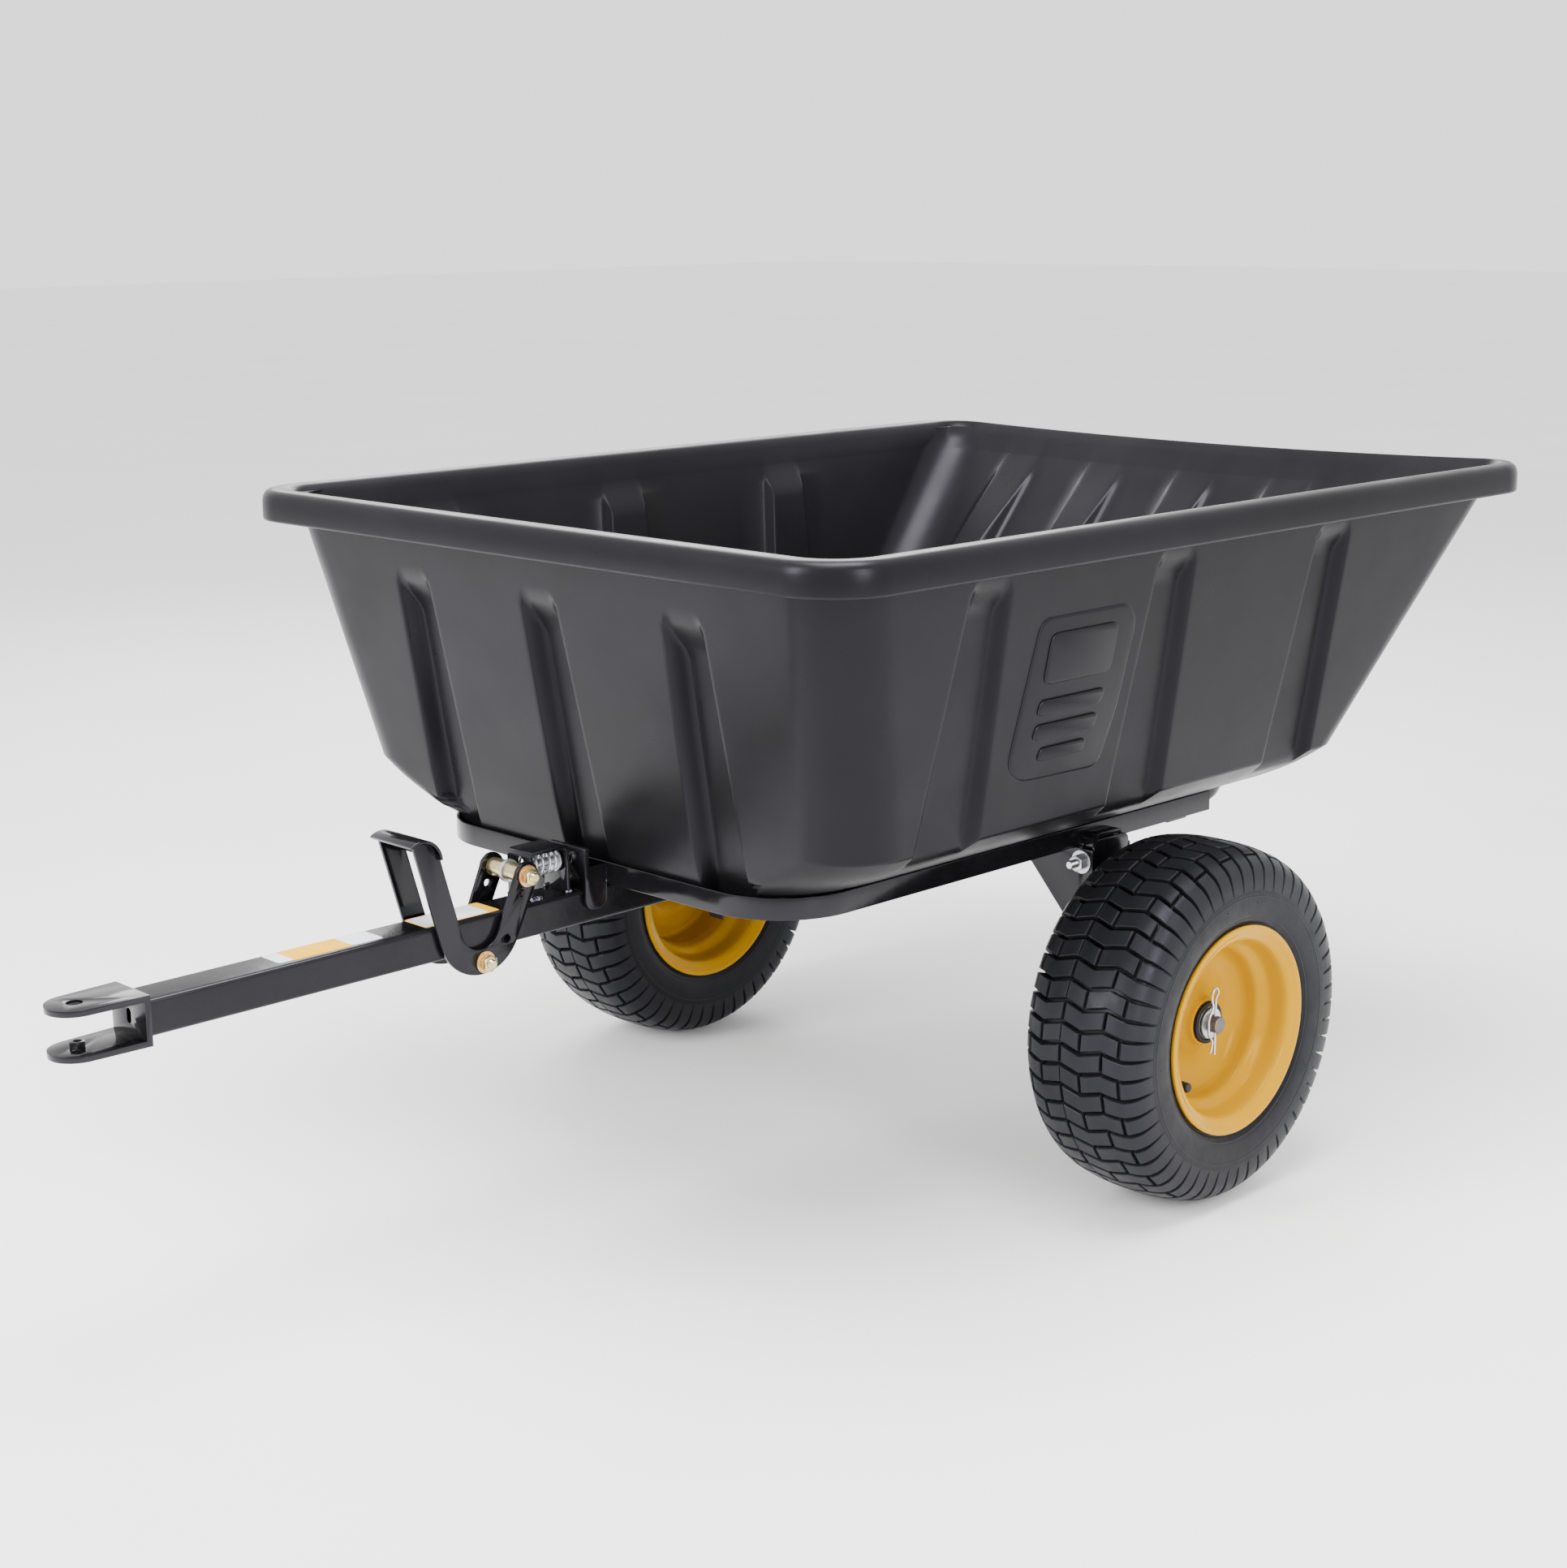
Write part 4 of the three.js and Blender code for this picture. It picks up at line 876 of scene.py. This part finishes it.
def make_lever():
    bend = Vector((PIVOT.y - 3 * MM, PIVOT.z + 39 * MM))
    bend_r, half = 38.5 * MM, 13.5 * MM
    front_arm = Vector((-0.27, 0.963)).normalized()
    rear_arm = Vector((0.415, 0.91)).normalized()
    front_normal = Vector((-front_arm.y, front_arm.x))
    rear_normal = Vector((rear_arm.y, -rear_arm.x))
    front_angle = math.atan2(front_normal.y, front_normal.x) + 2 * math.pi
    rear_angle = math.atan2(rear_normal.y, rear_normal.x) + 2 * math.pi
    tread = Vector((PIVOT.y - 76 * MM, PIVOT.z + 119 * MM))
    tread_r, tread_t, tread_from, tread_to = 25 * MM, 3 * MM, 0.03, 2.2
    under = tread_r - tread_t - 0.3 * MM
    # the arm runs up to the underside of the tread
    base = bend + front_normal * bend_r

    def meets_tread(offset):
        start = base + front_normal * offset - tread
        along = start.dot(front_arm)
        return -along + math.sqrt(max(along ** 2 - start.length_squared + under ** 2, 0))

    def on_arm(offset):
        return tuple(base + front_normal * offset + front_arm * meets_tread(offset))

    crown = [on_arm(half * (2 * k / 14 - 1)) for k in range(15)]
    outline = [p for p in crown[2:]]
    outline += arc(bend.x, bend.y, bend_r + half, front_angle, rear_angle + (2 * math.pi if rear_angle < front_angle else 0), 40)
    outline += arc(LATCH.y, LATCH.z, half + 1.5 * MM, rear_angle, rear_angle + math.pi, 28)
    outline += arc(bend.x, bend.y, bend_r - half, rear_angle + (2 * math.pi if rear_angle < front_angle else 0), front_angle, 30)
    outline += crown[:2]
    hole = 5.3 * MM
    loops = [outline, circle(PIVOT.y, PIVOT.z, hole), circle(LATCH.y, LATCH.z, hole),
             circle(PIVOT.y + 30 * MM, PIVOT.z + 19 * MM, 4.5 * MM),
             circle(LATCH.y - 8 * MM, LATCH.z - 17 * MM, 4 * MM)]
    for side, sign in SIDES:
        low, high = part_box(f"pedal_plate_{side}")
        Form().add(*plate(loops, across_x, low.x, high.x)).make(
            f"pedal_plate_{side}_cut", "pedal", "black_powder_coat", f"pedal_plate_{side}", sharp=40)
        make_sleeve(f"latch_bushing_{side}", "x", 5.3 * MM)
    low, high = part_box("foot_tread")
    strip = arc(tread.x, tread.y, tread_r, tread_from, tread_to, 30)
    strip += arc(tread.x, tread.y, tread_r - tread_t, tread_to, tread_from, 30)
    Form().add(*plate([strip], across_x, low.x, high.x, 0.9 * MM)).make(
        "foot_tread_rolled", "pedal", "black_powder_coat", "foot_tread", sharp=40)
    for name, place, body in (("latch", LATCH, "pedal"), ("pedal_pivot", PIVOT, "drawbar")):
        make_bolt(f"{name}_bolt", "x", 5 * MM, 6.5 * MM, 16 * MM)
        make_nut(f"{name}_nut", "x", 5.1 * MM, crown_high=True)
        for side, sign in SIDES:
            inner = sign * (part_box("pedal_plate_left")[1].x + 0.25 * MM)
            make_washer(f"{name}_washer_{side}", "x", (place.y, place.z), inner, inner + sign * 2.1 * MM,
                        5.3 * MM, 11.8 * MM, body, "yellow_zinc", look="rosy_zinc")
    make_sleeve("pedal_pivot_bushing", "x", 5.3 * MM, look="yellow_zinc")


def make_latch():
    low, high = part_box("latch_pin")
    eye = soften([(-2.2 * MM, 5.3 * MM), (-2.2 * MM, 12.5 * MM), (2.2 * MM, 12.5 * MM), (2.2 * MM, 5.3 * MM)], 1 * MM)
    rod = soften([(LATCH.y + 11 * MM, 0.5 * MM), (LATCH.y + 11 * MM, 4.75 * MM), (high.y, 4.75 * MM),
                  (high.y, 0.5 * MM)], 1.5 * MM, closed=False)
    form = Form().add(*revolve(eye, "x", (LATCH.y, LATCH.z)))
    form.add(*solid_turned(rod, "y", (0, LATCH.z), 40))
    form.make("latch_pin_turned", "latch_pin", "white_zinc", "latch_pin")
    make_sleeve("spring_collar", "y", 5.05 * MM, 0.5 * MM)
    low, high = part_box("latch_spring")
    wire, turns, steps = 1.5 * MM, 4.5, 220
    coil_r = (high.x - low.x) / 2 - wire
    path = []
    for k in range(steps + 1):
        t = k / steps
        along = low.y + wire + (high.y - low.y - 2 * wire) * (t - 0.035 * math.sin(2 * math.pi * t))
        a = t * turns * 2 * math.pi
        path.append((coil_r * math.cos(a), along, LATCH.z + coil_r * math.sin(a)))
    spring = Form().add(*tube(path, wire, 14)).make("latch_spring_coil", "drawbar", "white_zinc", "latch_spring")
    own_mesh(spring)


def bead(name, points, body, radius=2.2 * MM):
    """A weld bead: a lumpy run along a seam."""
    path = []
    for i, (a, b) in enumerate(zip(points, points[1:])):
        a, b = Vector(a), Vector(b)
        count = max(2, round((b - a).length / (0.9 * MM)))
        path += [a + (b - a) * k / count for k in range(count + (i == len(points) - 2))]
    ripple = [Vector((math.sin(k * 1.7), math.cos(k * 2.3), math.sin(k * 0.9))) * 0.35 * MM for k in range(len(path))]
    path = [p + r for p, r in zip(path, ripple)]

    def size(t):
        return radius * (0.82 + 0.2 * math.sin(t * len(path) * 1.15) ** 2 + 0.1 * math.sin(t * 37))

    Form().add(*tube(path, size, 10)).make(name, body, "black_powder_coat", look="weld", sharp=60)


def make_welds():
    low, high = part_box("latch_bracket")
    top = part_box("tongue_tube")[1].z
    for side, x in (("left", high.x), ("right", low.x)):
        bead(f"weld_hood_front_{side}", [(x, low.y, top + 1 * MM), (x, low.y + 14 * MM, top + 1 * MM)], "drawbar",
             3 * MM)
        bead(f"weld_hood_rear_{side}", [(x, high.y - 6 * MM, top + 1 * MM), (x, high.y + 1 * MM, top + 1 * MM)],
             "drawbar")
    bead("weld_hood_across", [(low.x + 3 * MM, low.y - 0.5 * MM, top + 0.6 * MM),
                              (high.x - 3 * MM, low.y - 0.5 * MM, top + 0.6 * MM)], "drawbar", 1.8 * MM)
    saddle_low, saddle_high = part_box("latch_saddle")
    frame_low, frame_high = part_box("bed_frame")
    for side, sign in SIDES:
        x = sign * (saddle_high.x - 2 * MM)
        bead(f"weld_saddle_{side}", [(x, frame_low.y - 1 * MM, frame_low.z + 2 * MM),
                                     (x, frame_low.y - 1 * MM, saddle_high.z - 24 * MM)], "bed", 2 * MM)
        low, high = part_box(f"frame_hanger_{side}")
        edge = sign * (frame_high.x + 1 * MM)
        for end, y in (("front", low.y), ("rear", high.y)):
            bead(f"weld_hanger_{end}_{side}", [(edge, y, frame_low.z + 2 * MM), (edge, y, high.z - 14 * MM)],
                 "bed", 1.7 * MM)
    tongue_low, tongue_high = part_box("tongue_tube")
    half = tongue_high.x
    y = tongue_low.y + 0.6 * MM
    bead("weld_clevis", [(half + 0.4 * MM, y, tongue_low.z), (half + 0.4 * MM, y, tongue_high.z - 1 * MM),
                         (half - 3 * MM, y, tongue_high.z + 0.4 * MM), (-half + 3 * MM, y, tongue_high.z + 0.4 * MM),
                         (-half - 0.4 * MM, y, tongue_high.z - 1 * MM), (-half - 0.4 * MM, y, tongue_low.z)],
         "drawbar", 1.9 * MM)


# ---------------------------------------------------------------- wheels
ROWS = 54                              # rows of tread lugs round the tyre
LUG_HEIGHT = 8 * MM
LUG_HALF = 9.3 * MM                    # half a lug's width round the tyre
# the zigzag every row follows: places across the tread, and how far round the tyre the row is there
ZIGZAG_AT = (-66 * MM, -40 * MM, -13 * MM, 13 * MM, 40 * MM, 66 * MM)
ZIGZAG_BY = (3.6 * MM, -3.1 * MM, 3.6 * MM, -3.6 * MM, 3.1 * MM, -3.6 * MM)
# lugs of the two kinds of row, as distances across the tread from its middle in millimetres
LUGS = (((-106, -63), (-59, -15), (-11, 39), (43, 106)),
        ((-106, -43), (-39, -14), (-12.8, 11), (15, 59), (63, 106)))
# the tyre's crown line as (distance from the wheel's middle, radius), one side
CROWN = smooth_path([(0, 203, 0), (22, 202.4, 0), (42, 200, 0), (56, 196.6, 0), (66, 191, 0), (73, 183, 0),
                     (76.6, 172, 0), (78, 158, 0), (77.8, 142, 0), (76, 128, 0), (72, 120, 0)], 8)
CROWN_U = [p.x * MM for p in CROWN]
CROWN_R = [p.y * MM for p in CROWN]
CROWN_V = np.concatenate([[0], np.cumsum(np.hypot(np.diff(CROWN_U), np.diff(CROWN_R)))])


def crown(v, sunk):
    """(u, r) at arc length v from the tread's middle, sunk below the crown."""
    side = -1 if v < 0 else 1
    v = abs(v)
    u, r = np.interp(v, CROWN_V, CROWN_U), np.interp(v, CROWN_V, CROWN_R)
    ahead = min(v + 1 * MM, CROWN_V[-1])
    behind = ahead - 2 * MM
    du = np.interp(ahead, CROWN_V, CROWN_U) - np.interp(max(behind, 0), CROWN_V, CROWN_U)
    dr = np.interp(ahead, CROWN_V, CROWN_R) - np.interp(max(behind, 0), CROWN_V, CROWN_R)
    length = math.hypot(du, dr) or 1
    return side * (u + dr / length * sunk), r - du / length * sunk


def groove_depth(v):
    return LUG_HEIGHT * (1 - float(step((abs(v) - 80 * MM) / (26 * MM))))


def zigzag(v):
    return float(np.interp(v, ZIGZAG_AT, ZIGZAG_BY))


def lug(form, start, end, turn, x):
    """One tread lug with bevelled edges, between two distances across the tread."""
    marks = {start, start + 0.9 * MM, end - 0.9 * MM, end}
    marks |= set(ZIGZAG_AT)
    marks |= {start + (end - start) * k / 8 for k in range(1, 8)}
    marks = sorted(m for m in marks if start <= m <= end)
    rows = []
    for v in marks:
        deep = groove_depth(v) + 1.2 * MM
        top = 0.8 * MM if v in (start, end) else 0.0
        wide = LUG_HALF * (1 + 0.16 * float(step((abs(v) - 0.07) / 0.034)))
        for across, sunk in ((-1.12, deep), (-1.0, 0.7 * MM), (-0.92, top), (0.92, top), (1.0, 0.7 * MM), (1.12, deep)):
            u, r = crown(v, sunk)
            a = turn + (zigzag(v) + across * wide) / CROWN_R[0]
            rows.append((x + u, AXLE_Y + r * math.sin(a), AXLE_Z + r * math.cos(a)))
    faces = grid_faces(len(marks), 6)
    faces += [tuple(range(6)), tuple(range(len(rows) - 6, len(rows)))]
    form.add(rows, faces)


def make_tyre(side, sign):
    x = AXLE.x
    form = Form()
    outer = []
    last = CROWN_V[-1]
    for k in range(-46, 47):
        v = last * k / 46
        u, r = crown(v, groove_depth(v))
        outer.append((x + u, r))
    bead_line = [(72, 119), (69.6, 116.6), (68.2, 109), (65.5, 103.6), (62, 102.8), (58, 106), (61, 124), (68, 146),
                 (65, 170), (48, 186), (0, 192)]
    right_side = [(x + u * MM, r * MM) for u, r in bead_line]
    left_side = [(x - u * MM, r * MM) for u, r in reversed(bead_line[:-1])]
    form.add(*revolve(outer + right_side + left_side, "x", (AXLE_Y, AXLE_Z), 144))
    for k in range(ROWS):
        for start, end in LUGS[k % 2]:
            lug(form, start * MM, end * MM, 2 * math.pi * (k + 0.5) / ROWS, x)
    # raised lines on the sidewall, and the little vent nubs left by the mould
    for face in (1, -1):
        for r, u in ((151, 77.8), (127, 75.3)):
            line = [(x + face * (u + 0.7 * math.sin(t)) * MM, (r + 1.1 * math.cos(t)) * MM)
                    for t in (k * math.pi / 4 for k in range(8))]
            form.add(*revolve(line, "x", (AXLE_Y, AXLE_Z), 144))
        for k in range(28):
            a = 2 * math.pi * (k + 0.3 * math.sin(k * 5)) / 28
            r = (144 if k % 2 else 123) * MM
            u = x + face * np.interp(-r, [-v for v in CROWN_R], CROWN_U)
            nub = [(u - face * 1 * MM, 0.6 * MM), (u + face * 0.2 * MM, 0.55 * MM), (u + face * 0.5 * MM, 0.35 * MM)]
            form.add(*solid_turned(nub, "x", (AXLE_Y + r * math.sin(a), AXLE_Z + r * math.cos(a)), 6))
    form.flip(sign).make(f"tyre_{side}_moulded", f"wheel_{side}", "tyre_rubber", f"tyre_{side}", sharp=30)


def make_rim(side, sign):
    x = AXLE.x
    face = [(76, 117.6), (76, 114), (74.6, 111.2), (72.8, 108.5), (71.6, 104.5), (68.5, 100.6), (63, 99), (56, 98.4),
            (50, 97.6), (45.5, 96), (42, 92), (39, 88), (35.5, 85.8), (30, 84.8), (24, 83.8), (18.5, 81), (14.5, 76.5),
            (11.6, 71), (9.4, 64), (8.2, 56), (8.2, 49), (9.2, 44.5), (12, 40), (16, 35.5), (20, 31), (24, 27.6),
            (29.2, 25.8), (30.4, 25.2), (30.4, 22.4)]
    back = [(24, 22.4), (18, 26), (12.2, 32), (8.6, 38), (6.2, 43), (5.4, 49), (5.4, 56), (6.6, 65),
            (8.8, 72.5), (11, 78.5), (8, 83.4), (0, 84), (-24, 83.8), (-35.5, 85.8), (-39, 88), (-42, 92), (-45.5, 96),
            (-50, 97.6), (-63, 99), (-68.5, 100.6), (-71.6, 104.5), (-74.6, 111.2), (-76, 114), (-76, 117.6)]
    seat = [(-75, 118.4), (-71, 118.2), (-70, 115), (-68.4, 106.4), (-64, 101.8), (-46, 100), (-41.5, 97), (-37, 89.6),
            (-32, 87.8), (32, 87.8), (37, 89.6), (41.5, 97), (46, 100), (64, 101.8), (68.4, 106.4), (70, 115),
            (71, 118.2), (75, 118.4)]
    section = [(x + u * MM, r * MM) for u, r in face + back + seat]
    form = Form().add(*revolve(soften(section, 1.6 * MM, steps=2), "x", (AXLE_Y, AXLE_Z), 160))
    form.flip(sign).make(f"rim_{side}_pressed", f"wheel_{side}", "rim_paint", f"rim_{side}", sharp=60)
    low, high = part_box(f"hub_{side}")
    ends = (low.x, high.x) if sign > 0 else (-high.x, -low.x)
    Form().add(*revolve(ring_section(ends[0], ends[1], 15.6 * MM, 22 * MM, 1.2 * MM), "x", (AXLE_Y, AXLE_Z), 80)).flip(
        sign).make(f"hub_{side}_turned", f"wheel_{side}", "rim_paint", f"hub_{side}")
    seal = [(ends[1] + 0.3 * MM, 9.9 * MM), (ends[1] + 0.3 * MM, 24 * MM), (ends[1] + 3.6 * MM, 24 * MM),
            (ends[1] + 4.4 * MM, 23 * MM), (ends[1] + 4.4 * MM, 19.5 * MM), (ends[1] + 2.9 * MM, 19 * MM),
            (ends[1] + 2.9 * MM, 9.9 * MM)]
    Form().add(*revolve(soften(seal, 0.4 * MM), "x", (AXLE_Y, AXLE_Z), 80)).flip(sign).make(
        f"hub_bearing_{side}_seal", f"wheel_{side}", "black_rubber", f"hub_bearing_{side}")
    for name, inner, outer, rise in (("shield", 17 * MM, 18.6 * MM, 4.0 * MM), ("race", 10.2 * MM, 14 * MM, 4.3 * MM)):
        section = ring_section(ends[1] + 2.6 * MM, ends[1] + rise, inner, outer, 0.5 * MM)
        Form().add(*revolve(section, "x", (AXLE_Y, AXLE_Z), 80)).flip(sign).make(
            f"bearing_{name}_{side}", f"wheel_{side}", "bare_steel")
    low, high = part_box(f"valve_stem_{side}")
    ends = (low.x, high.x) if sign > 0 else (-high.x, -low.x)
    reach = (high.y - low.y) / 2
    tip = ends[1] + 4 * MM
    valve = [(ends[0], 0.5 * MM), (ends[0], 3.9 * MM), (ends[0] + 9.6 * MM, 4.1 * MM), (ends[0] + 10 * MM, reach),
             (ends[0] + 14 * MM, reach), (ends[0] + 16 * MM, 4.6 * MM), (tip - 12 * MM, 4.2 * MM),
             (tip - 11.6 * MM, 5.6 * MM), (tip - 1.4 * MM, 5.4 * MM), (tip, 4.2 * MM), (tip, 0.5 * MM)]
    centre = middle(f"valve_stem_{side}")
    Form().add(*solid_turned(valve, "x", (centre.y, centre.z), 32)).flip(sign).make(
        f"valve_stem_{side}_moulded", f"wheel_{side}", "black_rubber", f"valve_stem_{side}")


# ---------------------------------------------------------------- the cart
MATERIALS = make_materials()
make_camera()
make_studio()
make_tub()
make_badge_panel()
make_bed_frame()
refine_cad_nodes(["rear_crossbar", "latch_saddle", "axle_crossmember", "tilt_ear_left", "tilt_ear_right",
                  "axle_leg_left", "axle_leg_right", "frame_hanger_left", "frame_hanger_right",
                  "latch_bracket", "hitch_clevis"])
make_undercarriage()
make_tongue()
make_lever()
make_latch()
make_welds()
for side, sign in SIDES:
    make_tyre(side, sign)
    make_rim(side, sign)
